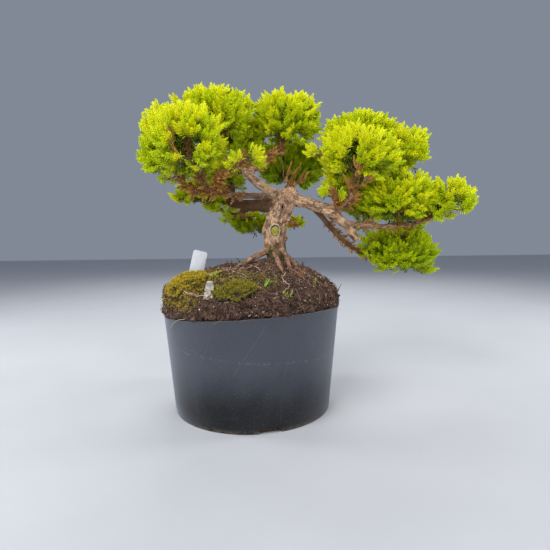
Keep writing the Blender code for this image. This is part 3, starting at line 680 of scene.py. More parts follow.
TWIG_BEND = (0.6, 0.8, 0.7)  # how far a twig keeps on, and how strongly at its foot and tip
PATH_COST = 0.35
TWIG_THIN = 0.42 * MM
PIPE_POWER = 2.4
SHADE_CLUMPS = 2.6  # short sprays inside a mass, painted dark as shade, for each clump of its outside
SHADE_SPAN = (-0.95, 0.75)  # how low and high in the mass they stand
SHADE_FOOT = (0.05, 0.55)
SHADE_LIFT = (-0.2, 0.6)
SHADE_LENGTH = (7, 15)
SHADE_REACH = 0.80
SHADE_LIGHT = (0.0, 0.25)
TUFT_LENGTH = (3.0, 7.0)  # dead tufts on the old twigs, in millimetres
TUFT_LEAN = (0.2, 1.1)
TUFT_RISE = (-0.1, 0.15)
TUFTS = 2
TUFTS_FROM = 0.67  # how far along its bough they begin

# Boughs with dead side twigs: how far along they begin, how many to each of the bough's points,
# and how long they are in millimetres.
DEAD_WOOD = {
    "bough_left_lower": (0.40, 3, (4, 12)), "bough_left_outer": (0.0, 3, (4, 11)),
    "bough_front_spray": (0.0, 3, (3, 9)), "bough_centre": (0.12, 3, (4, 10)),
    "bough_left_top": (0.25, 2, (4, 9)), "bough_right_upper": (0.12, 3, (4, 12)),
    "bough_right_sprig": (0.2, 2, (3, 8)), "bough_right_low": (0.30, 3, (3, 8)),
    "bough_right_far": (0.12, 2, (3, 9)), "bough_back": (0.4, 2, (4, 9)),
}

LIMB_NEAR = 14 * MM  # a dead spray so near a limb grows on it, or else on a twig
OLD_BRANCHES = 3  # of a mass's twigs, the first ones, coated with dead needles

FILLER_ROOM = 42 * MM * MM
FILLER_SPAN = 1.9
FILLER_FOOT = (0.05, 0.5)
FILLER_LIFT = (0.2, 0.7)
FILLER_REACH = (0.85, 1.1)
FILLER_LIGHT = (0.15, 0.12)  # more painted light at its top, and by how much it varies

# Windows through which the brown twigs inside a mass show: place and radius in millimetres.
WINDOWS = [
    ((-58, -50, 250), 9.0), ((-47, -50, 236), 8.0), ((100, -46, 226), 9.0), ((112, -44, 214), 8.0),
    ((-20, -30, 222), 7.0), ((86, -30, 213), 7.0),
]

Shoot = namedtuple("Shoot", "points side light")

# Needle colours by tone, lightest first. Which live tone a spray takes is painted light and shade,
# and a shoot's older part is darker.
TONES = {
    "tip": (0.86, 0.89, 0.011),
    "fresh": (0.66, 0.78, 0.009),
    "green": (0.43, 0.57, 0.008),
    "deep": (0.15, 0.25, 0.009),
    "stem": (0.55, 0.44, 0.040),
    "dead": (0.42, 0.19, 0.055),
    "rusty": (0.68, 0.38, 0.085),
}

MASS_NAMES = list(MASSES)
MASS_CENTRES = np.array([mass.centre for mass in MASSES.values()]) * MM
MASS_REACHES = np.array([mass.reach for mass in MASSES.values()]) * MM


def inside(name, places, reach=OUTER_SHARE):
    """Which places are in reach of a mass, and nearer to it than to any other."""
    offsets = places[:, None] - MASS_CENTRES
    heights = np.where(offsets[..., 2] > 0, MASS_REACHES[:, 2], MASS_REACHES[:, 3])
    shares = np.sqrt((offsets[..., 0] / MASS_REACHES[:, 0]) ** 2
                     + (offsets[..., 1] / MASS_REACHES[:, 1]) ** 2
                     + (offsets[..., 2] / heights) ** 2)
    number = MASS_NAMES.index(name)
    own = shares[:, number].copy()
    shares[:, number] = np.inf
    kept = (own <= reach) & (own - OWN_MARGIN < shares.min(1))
    for place, radius in WINDOWS:
        kept &= np.linalg.norm(places - np.array(place) * MM, axis=1) > radius * MM
    if MASSES[name].floor:
        across, heights = np.array(MASSES[name].floor).T * MM
        kept &= places[:, 2] > np.interp(places[:, 0], across, heights)
    return kept


class Twigs:
    """A branching set of twigs, each leaving the one that makes its way shortest."""

    def __init__(self, start, onward, radius):
        self.places = [start]
        self.onward = [onward]
        self.parents = [-1]
        self.paths = [0.0]
        self.foot_radius = radius
        self.branches = []

    def grow_to(self, end, arriving, parent=None):
        """A twig from the best place so far to this end."""
        if parent is None:
            away = [(end - place).length for place in self.places]
            costs = [near + PATH_COST * path for near, path in zip(away, self.paths)]
            parent = costs.index(min(costs))
        start = self.places[parent]
        length = (end - start).length
        if length < TWIG_STEP / 2:
            return parent
        toward = (end - start).normalized()
        keeps, leaves, arrives = TWIG_BEND
        leaving = (self.onward[parent] * keeps + toward).normalized() * length * leaves
        steps = max(2, round(length / TWIG_STEP))
        route = bend_between(start, leaving, end, arriving * length * arrives, steps)
        numbers = [parent]
        for before, point in zip(route, route[1:]):
            self.places.append(point)
            self.onward.append((point - before).normalized())
            self.parents.append(numbers[-1])
            self.paths.append(self.paths[numbers[-1]] + (point - before).length)
            numbers.append(len(self.places) - 1)
        self.branches.append(numbers)
        return numbers[-1]

    def radii(self):
        """Each place's radius, from how much the twig carries beyond it."""
        load = [0.0] * len(self.places)
        children = [0] * len(self.places)
        for parent in self.parents[1:]:
            children[parent] += 1
        for number in range(len(self.places) - 1, 0, -1):
            if not children[number]:
                load[number] = 1.0
            load[self.parents[number]] += load[number]
        most = load[0]
        scale = (self.foot_radius / TWIG_THIN) / most ** (1 / PIPE_POWER)
        return [TWIG_THIN * max(1.0, scale * carried ** (1 / PIPE_POWER)) for carried in load]


def turned(vector, axis, degrees):
    """A vector turned round an axis."""
    return Matrix.Rotation(math.radians(degrees), 3, axis) @ vector


def outward(up, angle, reaches):
    """From a mass's middle to its surface, at a height from -1 to 1 and an angle round it."""
    across, deep, rise, drop = reaches
    flat = math.sqrt(1 - up * up)
    return Vector((flat * math.cos(angle) * across, flat * math.sin(angle) * deep,
                   up * (rise if up > 0 else drop)))


def clump_count(across, deep, rise, room):
    """How many clumps or sprays a space of these reaches has."""
    return round((across * deep + across * rise + deep * rise) / room)


def fitting_length(fits):
    """How far a spray may grow before the first of its places that doesn't fit."""
    return (len(fits) if fits.all() else int(fits.argmin())) * SPRAY_STEP


def grow_spray(foot, onward, length, light, rule):
    """A shoot that bends upward, with side shoots in one plane, as a list of shoots."""
    main = [foot + onward * length * t + UP * length * SPRAY_LIFT * t * t
            for t in (step / SPRAY_PARTS for step in range(SPRAY_PARTS + 1))]
    flat = onward.cross(UP)
    if flat.length < UPRIGHT:
        flat = onward.cross(Vector((math.cos(rule.uniform(0, 6)), math.sin(rule.uniform(0, 6)), 0)))
    side = turned(flat.normalized(), onward, rule.uniform(-SPRAY_TILT, SPRAY_TILT))
    face = side.cross(onward).normalized()
    shoots = [Shoot(main, side, light)]
    hand = rule.choice((-1, 1))
    for at in SIDE_SHOOTS:
        at += rule.uniform(-SIDE_SHIFT, SIDE_SHIFT)
        reach = length * (1 - at) * SIDE_SHARE * rule.uniform(*SIDE_REACH)
        hand = -hand
        if reach < SHOOT_LEAST:
            continue
        place = at * SPRAY_PARTS
        start = main[int(place)].lerp(main[int(place) + 1], place % 1)
        out = turned(onward, face, hand * rule.uniform(*SIDE_ANGLE))
        out = (out + face * rule.uniform(*SIDE_OFF)).normalized()
        points = [start + out * reach * t + (onward - out) * reach * SIDE_BEND * t * t
                  + UP * reach * SPRAY_LIFT * t * t for t in QUARTERS]
        shoots.append(Shoot(points, side, light))
    return shoots


def tufts_along(route, count, lengths, rule):
    """Short dead shoots that stand out all round a route, a few at each of its points."""
    tufts = []
    for before, place in zip(route, route[1:]):
        onward = (place - before).normalized()
        aside = onward.orthogonal().normalized()
        for _ in range(count):
            out = turned(aside, onward, rule.uniform(0, 360)) + onward * rule.uniform(*TUFT_LEAN)
            out.normalize()
            length = rule.uniform(*lengths) * MM
            foot = before.lerp(place, rule.random())
            points = [foot + out * length * t + UP * length * rule.uniform(*TUFT_RISE) * t
                      for t in (0, 0.5, 1.0)]
            tufts.append(Shoot(points, aside, 0.0))
    return tufts


def dead_sprays(name, twigs, rule):
    """A mass's dead sprays, each on the limb beside it or else on a twig of its own."""
    shoots = []
    for foot, onward, length in MASSES[name].dead:
        foot, onward = mm(foot), Vector(onward).normalized()
        limb = min((point for route, _ in ROUTES.values() for point in route),
                   key=lambda point: (point - foot).length)
        if (limb - foot).length < LIMB_NEAR:
            shoots.append(Shoot([limb, limb.lerp(foot, 0.5), foot], onward.orthogonal(), 0.0))
        else:
            twigs.grow_to(foot, onward)
        shoots += grow_spray(foot, onward, length * MM, 0.0, rule)
    return shoots


def shade_sprays(name, count, rule):
    """Short sprays in the dark inside a mass, which close the view through it."""
    mass = MASSES[name]
    centre = mm(mass.centre)
    reaches = [reach * MM for reach in mass.reach]
    shoots = []
    for number in range(count):
        out = outward(rule.uniform(*SHADE_SPAN), number * GOLDEN_ANGLE, reaches)
        foot = centre + out * rule.uniform(*SHADE_FOOT)
        onward = (out.normalized() + UP * rule.uniform(*SHADE_LIFT)).normalized()
        length = rule.uniform(*SHADE_LENGTH) * MM
        line = np.array([foot + onward * length * t for t in (0, 0.5, 1.0)])
        if inside(name, line, SHADE_REACH).all() and clear_of_limbs(line).all():
            shoots += grow_spray(foot, onward, length, rule.uniform(*SHADE_LIGHT), rule)[:3]
    return shoots


def fill_out(name, twigs, rule):
    """A mass's smaller sprays, as shoots on twigs of their own."""
    shoots = []
    steps = np.arange(0, SPRAY_MOST, SPRAY_STEP)[:, None]
    for place, reach, light in MASSES[name].fillers:
        middle, reach = mm(place), mm(reach)
        count = clump_count(*reach, FILLER_ROOM)
        for number in range(count):
            up = 1 - FILLER_SPAN * (number + 0.5) / count
            out = outward(up, number * GOLDEN_ANGLE, (*reach, reach.z))
            foot = middle + out * rule.uniform(*FILLER_FOOT)
            toward = (out.normalized() + UP * rule.uniform(*FILLER_LIFT)).normalized()
            line = np.array(foot) + steps * np.array(toward)
            shares = np.linalg.norm((line - np.array(middle)) / np.array(reach), axis=1)
            length = fitting_length((shares < rule.uniform(*FILLER_REACH)) & clear_of_limbs(line))
            if length > SPRAY_LEAST:
                # Painted light and shade: a filler's sprays are lighter the higher they stand.
                more, varies = FILLER_LIGHT
                shoots += grow_spray(foot, toward, length,
                                     light + more * up + rule.uniform(-varies, varies), rule)
                twigs.grow_to(foot, toward)
    return shoots


def clump_sprays(name, foot, middle, reach, up, rule):
    """A clump's sprays: one along its middle and the others round it, as far as each fits."""
    mass = MASSES[name]
    steps = np.arange(0, SPRAY_MOST, SPRAY_STEP)[:, None]
    shoots = []
    count = rule.randint(*SPRAYS)
    turn = rule.uniform(0, 360)
    aside = middle.orthogonal().normalized()
    for number in range(count + 1):
        spread = rule.uniform(*(CLUMP_SPREAD if number else CLUMP_HEART))
        around = turned(aside, middle, turn + 360 * number / count + rule.uniform(-20, 20))
        toward = turned(middle, middle.cross(around).normalized(), spread)
        tips = np.array(foot) + steps * np.array(toward) + (
            (steps - SPRAY_STEP) * SPRAY_LIFT * np.array(UP))
        fits = inside(name, tips, reach * rule.uniform(*SPRAY_REACH)) & clear_of_limbs(tips)
        length = fitting_length(fits[1:]) - SPRAY_SPARE
        if length < min(SPRAY_LEAST, mass.reach[0] * MM * 0.3):
            continue
        # Painted light and shade: sprays higher up, and in lighter masses, take lighter tones.
        base, more, varies = CLUMP_LIGHT
        light = base + more * up + rule.uniform(-varies, varies) + mass.light
        shoots += grow_spray(foot, toward, length, light, rule)
    return shoots


def grow_mass(name):
    """A mass's twigs, and its shoots: live ones, those in the dark, dead tufts and coated twigs."""
    mass = MASSES[name]
    rule = random.Random(f"{SEED} {name}")
    centre = mm(mass.centre)
    across, deep, rise, drop = reaches = [reach * MM for reach in mass.reach]
    bough, radii = ROUTES[mass.bough]
    twigs = Twigs(bough[-3], (bough[-1] - bough[-2]).normalized(), radii[-1])
    low, high = STEM_REACH
    top = twigs.grow_to(centre - UP * drop * low, (centre - bough[-1]).normalized(), 0)
    twigs.grow_to(centre + UP * rise * high, UP.copy(), top)

    clumps = []
    count = clump_count(across, deep, rise, CLUMP_ROOM)
    for number in range(count):
        up = 1 - (1 - LOWEST_CLUMP) * (number + 0.5) / count
        angle = number * GOLDEN_ANGLE + rule.uniform(-CLUMP_SWING, CLUMP_SWING)
        out = outward(up, angle, reaches)
        foot = centre + out * rule.uniform(*CLUMP_FOOT)
        lift = CLUMP_LIFT[0] + (CLUMP_LIFT[1] - CLUMP_LIFT[0]) * (up + 1) / 2
        middle = (out.normalized() + UP * lift).normalized()
        clumps.append((foot, middle, rule.uniform(*CLUMP_REACH), up))
    clumps.sort(key=lambda clump: (clump[0] - bough[-1]).length)

    shoots = []
    for foot, middle, reach, up in clumps:
        while (foot - centre).length > CLUMP_LEAST:
            place = np.array([foot])
            if inside(name, place)[0] and clear_of_limbs(place)[0]:
                break
            foot = centre.lerp(foot, 0.9)
        sprays = clump_sprays(name, foot, middle, reach, up, rule)
        if sprays:
            twigs.grow_to(foot, middle)
            shoots += sprays
    shoots += fill_out(name, twigs, rule)

    start, each, lengths = DEAD_WOOD.get(mass.bough, (TUFTS_FROM, TUFTS, TUFT_LENGTH))
    bough = bough[int(len(bough) * start):]
    old = [[twigs.places[n] for n in branch] for branch in twigs.branches[:OLD_BRANCHES]]
    tufts = tufts_along(bough, each, lengths, rule)
    tufts += [tuft for route in old for tuft in tufts_along(route, TUFTS, TUFT_LENGTH, rule)]
    tufts += dead_sprays(name, twigs, rule)
    coats = [Shoot(route, (route[1] - route[0]).orthogonal().normalized(), 0.0)
             for route in (*old, bough)]
    return twigs, shoots, shade_sprays(name, round(count * SHADE_CLUMPS), rule), tufts, coats


CLOSING_FROM = 0.40  # how far along a shoot its needles begin to close up
TIP_SHORTER = 0.34  # how much shorter they are at its tip


def needle_tree():
    """Needles in a flattened spiral along every shoot, closing up towards its tip."""
    tree, graph, given = new_tree(
        "needle_shoots", Shoots="Geometry", Needle="Object", Spacing=0.54 * MM, Length=5.4 * MM,
        Width=1.0, Open=48.0, Closed=14.0, Flatness=0.6, Material="Material", Seed=0)
    curve = graph.node("GeometryNodeMeshToCurve", (), {0: given["Shoots"]})
    curve = graph.node("GeometryNodeResampleCurve", {"mode": "LENGTH"},
                       {0: curve, "Length": given["Spacing"]})
    onward = graph.node("GeometryNodeInputTangent")
    side = graph.stored("side", "FLOAT_VECTOR")
    girth = graph.stored("size")
    face = graph.vector("CROSS_PRODUCT", {0: side, 1: onward})
    number = graph.node("GeometryNodeInputIndex")
    turn = number * GOLDEN_ANGLE + graph.chance(-0.4, 0.4, given["Seed"] + 1)
    out = (side * graph.maths("COSINE", turn)
           + face * (graph.maths("SINE", turn) * given["Flatness"]))
    out = graph.vector("NORMALIZE", {0: out})
    closing = graph.step(graph.stored("along"), CLOSING_FROM, 1.0)
    open_angle = given["Open"] + (given["Closed"] - given["Open"]) * closing
    angle = graph.maths("RADIANS", open_angle + graph.chance(-9.0, 9.0, given["Seed"] + 2))
    toward = onward * graph.maths("COSINE", angle) + out * graph.maths("SINE", angle)
    turned_to = graph.node("FunctionNodeAlignRotationToVector", {"axis": "Z"}, {"Vector": toward})
    length = (given["Length"] * girth * (1.0 - TIP_SHORTER * closing)
              * graph.chance(0.82, 1.12, given["Seed"] + 3))
    size = graph.combine(given["Width"] * girth, given["Width"] * girth, length / (1.0 * MM))
    needles = graph.node("GeometryNodeInstanceOnPoints", (), {
        "Points": curve, "Instance": graph.mesh_of(given["Needle"]), "Rotation": turned_to,
        "Scale": size})
    for name in ("side", "along", "size"):
        needles = graph.node("GeometryNodeRemoveAttribute", (), {0: needles, "Name": name})
    graph.finish(needles, given["Material"])
    return tree


NEEDLE_HALF = 0.49 * MM  # half a needle's width, at its widest
NEEDLE_DEEP = 0.50 * MM
NEEDLE_WIDEST = 0.50

# How needles stand on the dense young ends, the older parts, in the dark and where they are dead.
NEEDLES = {
    "young": {"Spacing": 0.29 * MM, "Length": 4.6 * MM, "Open": 44.0, "Closed": 15.0,
              "Flatness": 0.9},
    "older": {"Spacing": 0.68 * MM, "Length": 6.2 * MM, "Open": 56.0, "Flatness": 0.5},
    "shaded": {"Spacing": 0.9 * MM, "Length": 5.6 * MM, "Open": 50.0, "Width": 1.25},
    "tufts": {"Spacing": 0.42 * MM, "Length": 3.4 * MM, "Open": 44.0, "Flatness": 1.0},
    "coat": {"Spacing": 0.22 * MM, "Length": 3.8 * MM, "Open": 40.0, "Flatness": 1.0},
}


def needle_shape():
    """One needle, a millimetre long: a keel from foot to tip, and a flat back across its middle."""
    points = [(0, 0, 0), (-NEEDLE_HALF, NEEDLE_DEEP, NEEDLE_WIDEST * MM),
              (NEEDLE_HALF, NEEDLE_DEEP, NEEDLE_WIDEST * MM), (0, 0, MM)]
    needle = object_from("needle", points, [(0, 1, 2), (3, 2, 1), (0, 3, 1), (0, 2, 3)])
    needle.hide_render = True
    return needle


def set_needles(name, shoots, tree, inputs):
    """Needles on shoots, each with where they begin and end along it and their size, as a mesh."""
    points = []
    edges = []
    sides = []
    alongs = []
    sizes = []
    for shoot, low, high, size in shoots:
        reach = len(shoot.points) - 1
        first = len(points)
        count = max(2, round(reach * (high - low)))
        for step in range(count + 1):
            place = min((low + (high - low) * step / count) * reach, reach - 1e-6)
            start = int(place)
            points.append(shoot.points[start].lerp(shoot.points[start + 1], place - start))
            sides.append(shoot.side)
            alongs.append(step / count if high == 1.0 else 0.0)
            sizes.append(size)
        edges += [(n, n + 1) for n in range(first, len(points) - 1)]
    mesh = bpy.data.meshes.new(name)
    mesh.from_pydata(points, edges, [])
    made = placed(name, mesh)
    give_values(made, "side", [tuple(side) for side in sides])
    give_values(made, "along", alongs)
    give_values(made, "size", sizes)
    return grown(made, tree, inputs)


LIVE_TONES = ("tip", "fresh", "green", "deep")
TONE_RANGE = 2.4  # how many tones lie between a light spray and a dark one
OLD_DARKER = 0.9  # how many tones darker a shoot's older part is
OLD_FROM = 0.08  # how far along a shoot its needles begin
SHADE_FROM = 0.1  # the same of a shaded one
TUFT_SIZE = 0.9
COAT_TO = 0.999  # short of its end, so that a coat doesn't close up like a tip
SPRIG_SIZE = 0.55
STEM_RADII = (0.62 * MM, 0.5 * MM)  # of a live shoot, at its foot and its middle
STALK_RADII = (0.5 * MM, 0.36 * MM)  # the same of a dead or shaded one


def tone_of(light, young):
    """The tone of a shoot's young or old part, from how light its spray is painted as light and
    shade.
    """
    level = (1.0 - light) * TONE_RANGE + (0.0 if young else OLD_DARKER)
    return LIVE_TONES[min(max(int(level), 0), len(LIVE_TONES) - 1)]


def stalks(name, routes, thick, thin):
    """Three-sided stalks, each from its route's foot through its middle to a sharp tip."""
    ends = np.array([[points[0], points[len(points) // 2], points[-1]] for points in routes])
    onward = ends[:, 2] - ends[:, 0]
    onward /= np.linalg.norm(onward, axis=1)[:, None]
    helper = np.where(np.abs(onward[:, 2:]) > 0.9, (1.0, 0.0, 0.0), (0.0, 0.0, 1.0))
    side = np.cross(onward, helper)
    side /= np.linalg.norm(side, axis=1)[:, None]
    other = np.cross(onward, side)
    turns = np.arange(3) * math.tau / 3
    ring = side[:, None] * np.cos(turns)[:, None] + other[:, None] * np.sin(turns)[:, None]
    points = np.concatenate(
        [ends[:, :1] + ring * thick, ends[:, 1:2] + ring * thin, ends[:, 2:]], 1)
    shape = [(0, 2, 1), (0, 1, 4, 3), (1, 2, 5, 4), (2, 0, 3, 5), (3, 4, 6), (4, 5, 6), (5, 3, 6)]
    faces = [tuple(corner + first for corner in face)
             for first in range(0, 7 * len(routes), 7) for face in shape]
    return object_from(name, points.reshape(-1, 3), faces)


def make_foliage():
    """Needles and twigs, a piece of each for every mass."""
    tree = needle_tree()
    needle = needle_shape()
    finishes = {tone: new_material(f"needles_{tone}", **{
        "Base Color": colour, "Roughness": 0.55, "Specular IOR Level": 0.2})
        for tone, colour in TONES.items()}
    twig_finish = grained("twig_bark", (0.13, 0.062, 0.034), (0.24, 0.125, 0.07), 0.85)
    for name in MASSES:
        twigs, shoots, shaded, tufts, coats = grow_mass(name)
        dealt = {}
        for shoot in shoots:
            length = (shoot.points[-1] - shoot.points[0]).length
            young_from = 1.0 - min(YOUNG_LENGTH / length, YOUNG_MOST)
            dealt.setdefault((tone_of(shoot.light, True), "young"), []).append(
                (shoot, young_from, 1.0, 1.0))
            dealt.setdefault((tone_of(shoot.light, False), "older"), []).append(
                (shoot, OLD_FROM, young_from, 1.0))
        # The sprays inside a mass all take the darkest tone: painted shade.
        dealt["deep", "shaded"] = [(shoot, SHADE_FROM, 1.0, 1.0) for shoot in shaded]
        for first, tone in enumerate(("dead", "rusty")):
            dealt[tone, "tufts"] = [(tuft, 0.0, 1.0, TUFT_SIZE) for tuft in tufts[first::2]]
        dealt["dead", "coat"] = [(coat, 0.0, COAT_TO, 1.0) for coat in coats]
        made = []
        for number, ((tone, kind), parts) in enumerate(dealt.items()):
            made.append(set_needles(f"{tone}_{kind}", parts, tree, {
                "Needle": needle, "Material": finishes[tone], "Seed": SEED + number,
                **NEEDLES[kind]}))
        stems = stalks("stems", [shoot.points for shoot in shoots], *STEM_RADII)
        stems.data.materials.append(finishes["stem"])
        piece = joined(name.replace("foliage", "needles"), made + [stems])
        dress(piece, None, "foliage", name)
        radii = twigs.radii()
        branches = [([twigs.places[n] for n in branch], [radii[n] for n in branch])
                    for branch in twigs.branches]
        piece = joined(name.replace("foliage", "twigs"), [
            tubes("branches", branches, sides=4),
            stalks("stalks", [shoot.points for shoot in shaded + tufts], *STALK_RADII)])
        dress(piece, twig_finish, "bark")
    bpy.data.objects.remove(needle)


# ---- bark

SKIN_VOXEL = 0.66 * MM
COLLAR = 0.30  # how much thicker a limb is where it leaves its parent
TRUNK_COLLAR = 0.04  # the same where it leaves the trunk, with a crease round it
COLLAR_LENGTH = 6 * MM
ROOT_GIRTH = 0.86  # bare roots are thinner than the solids that carry them

# Knots on the trunk: middle and radius in millimetres.
KNOTS = [((31.8, -5.5, 196.4), 6.4), ((24.2, -5.5, 175.5), 7.6), ((40.0, -3.5, 208.5), 8.2),
         ((33.0, -2.5, 207.0), 8.6), ((19.5, -4.0, 186.0), 4.2), ((36.0, -3.0, 184.0), 4.4),
         ((17.5, -3.5, 163.0), 5.0), ((33.5, -3.0, 167.0), 4.2)]

# Dead stubs along the boughs: how many, their radii and lengths in millimetres, how thick a limb
# has to be to carry them, and how far they lean along it.
SPUR_COUNT = 60
SPUR_RADIUS = (0.7, 1.2)
SPUR_LENGTH = (1.5, 4.5)
SPUR_LIMB = 1.6
SPUR_LEAN = (-0.1, 0.7)
SPUR_TAPER = (1.3, 1.0, 0.7)

# Where two boughs were sawn off the trunk's front, in millimetres: a heart of wood with a ditch
# round it, and a hole, both ditch and hole painted near black as shade. The edge is the shares of
# its ring between which it begins.
Scar = namedtuple("Scar", "kind middle width height lip deep edge pale")
SCARS = [Scar("heart", (24.4, -11.2, 174.7), 9.0, 12.0, 1.5, 0.7, (0.80, 0.66), 0.9),
         Scar("hole", (31.8, -10.6, 197.6), 5.0, 8.0, 1.5, 3.4, (0.56, 0.30), 0.35)]
SCAR_PARTS = 24
SCAR_BOW = 0.3  # how far its lip bows round the trunk, in millimetres
SCAR_FRONT = 4.0 * MM  # how far behind its middle a scar still marks the wood
LIP_RING, LIP_EDGE = 1.10, (0.26, 0.10)
DITCH_RING, DITCH_EDGE = 0.84, (0.16, 0.07)
SAWN = "stub_right"
SAWN_REACH = 6 * MM
STUB_CUT = 0.7 * MM
PEELED = ("bough_left_upper", 12.0, 40.0)  # a limb, and where along it bark has peeled off
LIMB_SPACING = 37.0  # millimetres of the bark's pattern from limb to limb

# The bark's relief: the sizes of its lumps and cracks, and how high they stand in millimetres.
LUMP_SIZE, LUMP_HEIGHT = 8 * MM, 1.15
BURL_SIZE, BURL_HEIGHT = 13 * MM, 2.0
ROUGH_SIZE, ROUGH_HEIGHT = 2.6 * MM, 0.45
CRACK_SIZE, CRACK_DEPTH = 3.4 * MM, 0.55
FINE_CRACK_SIZE, FINE_CRACK_DEPTH = 1.6 * MM, 0.18
CRACK_WANDER = 0.9 * MM
GRAIN_STRETCH = (1, 1, 0.42)  # plates and cracks are longer along a limb than across it
MOSSY_FOOT = (168 * MM, 153 * MM)  # where the trunk's foot turns green and darker

# How much darker than the trunk a limb's bark is painted, as shade under the foliage over it.
PAINTED_BARK_SHADE = {
    "bough_back_left": 0.90, "bough_left_lower": 0.55, "bough_right_low": 0.65,
    "bough_left_outer": 0.45, "bough_front_spray": 0.45, "bough_right_far": 0.25,
    "bough_back": 0.5, "bough_right_back": 0.5, "stub_right": 0.15,
}


def collared(name):
    """A limb's route, and its radii with a swelling where it leaves its parent."""
    route, radii = ROUTES[name]
    if name not in LIMBS:
        return route, [radius * (1.0 if name == "trunk" else ROOT_GIRTH) for radius in radii]
    limb = LIMBS[name]
    parent_radii = ROUTES[limb.parent][1]
    within = parent_radii[int(limb.at * (len(parent_radii) - 1))]
    collar = TRUNK_COLLAR if limb.parent == "trunk" else COLLAR
    gone = 0.0
    swollen = []
    for step, radius in enumerate(radii):
        if step:
            gone += (route[step] - route[step - 1]).length
        past = max(0.0, gone - within) / COLLAR_LENGTH
        swollen.append(radius * (1 + collar * math.exp(-past * past)))
    return route, swollen


def spurs(rule):
    """Short dead stubs that stand out of the boughs."""
    names = [name for name in LIMBS if LIMBS[name].thick > SPUR_LIMB]
    routes = []
    for number in range(SPUR_COUNT):
        route, radii = ROUTES[names[number % len(names)]]
        step = rule.randint(4, len(route) - 3)
        onward = (route[step + 1] - route[step]).normalized()
        out = turned(onward.orthogonal().normalized(), onward, rule.uniform(0, 360))
        out = (out + onward * rule.uniform(*SPUR_LEAN)).normalized()
        length = radii[step] + rule.uniform(*SPUR_LENGTH) * MM
        thick = rule.uniform(*SPUR_RADIUS) * MM
        points = [route[step], route[step] + out * length * 0.6, route[step] + out * length]
        routes.append((points, [thick * part for part in SPUR_TAPER]))
    return routes


def limb_frames():
    """Two directions across each stretch of limb, and where along the pattern it starts."""
    across = []
    along = []
    for number, (route, _) in enumerate(ROUTES.values()):
        gone = number * LIMB_SPACING * MM
        side = (route[1] - route[0]).orthogonal().normalized()
        for before, point in zip(route, route[1:]):
            onward = (point - before).normalized()
            side = (side - onward * side.dot(onward)).normalized()
            across.append((side, onward.cross(side)))
            along.append(gone)
            gone += (point - before).length
    return np.array(across), np.array(along)


BATCH = 2000  # points whose limbs are looked up at a time


def limb_places(points):
    """Each point's stretch of limb, and its place in that limb's own directions."""
    lengths = np.linalg.norm(LIMB_ALONG, axis=1)
    across, along = limb_frames()
    numbers = np.zeros(len(points), int)
    places = np.zeros((len(points), 3))
    for first in range(0, len(points), BATCH):
        batch = slice(first, first + BATCH)
        offsets, away = from_limbs(points[batch])
        best = (away - LIMB_RADII).argmin(1)
        off = offsets[np.arange(len(best)), best]
        numbers[batch] = best
        places[batch] = np.stack([
            (off * across[best, 0]).sum(1), (off * across[best, 1]).sum(1),
            along[best] + (off * LIMB_ALONG[best]).sum(1) / lengths[best]], 1)
    return numbers, places


def wood_skin():
    """Trunk, roots and boughs in one skin, with knots, dead stubs and the scars' lips."""
    rule = random.Random(f"{SEED} wood")
    lips = []
    for scar in SCARS:
        turn = [math.tau * step / SCAR_PARTS for step in range(SCAR_PARTS)]
        points = [mm(scar.middle) + Vector((
            math.cos(a) * scar.width / 2, -SCAR_BOW * math.cos(2 * a),
            math.sin(a) * scar.height / 2)) * MM for a in turn]
        lips.append((points, [scar.lip * MM * rule.uniform(0.85, 1.15) for _ in points]))
    shares = (-0.95, -0.6, 0.0, 0.6, 0.95)
    knots = [([mm(middle) + UP * radius * part * MM for part in shares],
              [radius * math.sqrt(1 - part * part) * MM for part in shares])
             for middle, radius in KNOTS]
    wood = joined("wood", [
        tubes("limbs", [collared(name) for name in ROUTES]), tubes("spurs", spurs(rule), 8),
        tubes("knots", knots), tubes("lips", lips, 12, cyclic=True)])
    return remeshed(wood, "bark", SKIN_VOXEL, 2)


def peeled_bark(limb_of, along, normals, rough, lump):
    """How far the bark has peeled off at each point, on the front underside of one bough."""
    name, low, high = PEELED
    along = along - list(ROUTES).index(name) * LIMB_SPACING
    return ((limb_of == name) * smooth(along + rough * 4, low, low + 3)
            * smooth(along + rough * 4, high, high - 5)
            * smooth(normals[:, 2] + lump * 0.35, 0.1, -0.25) * smooth(normals[:, 1], 0.1, -0.3))


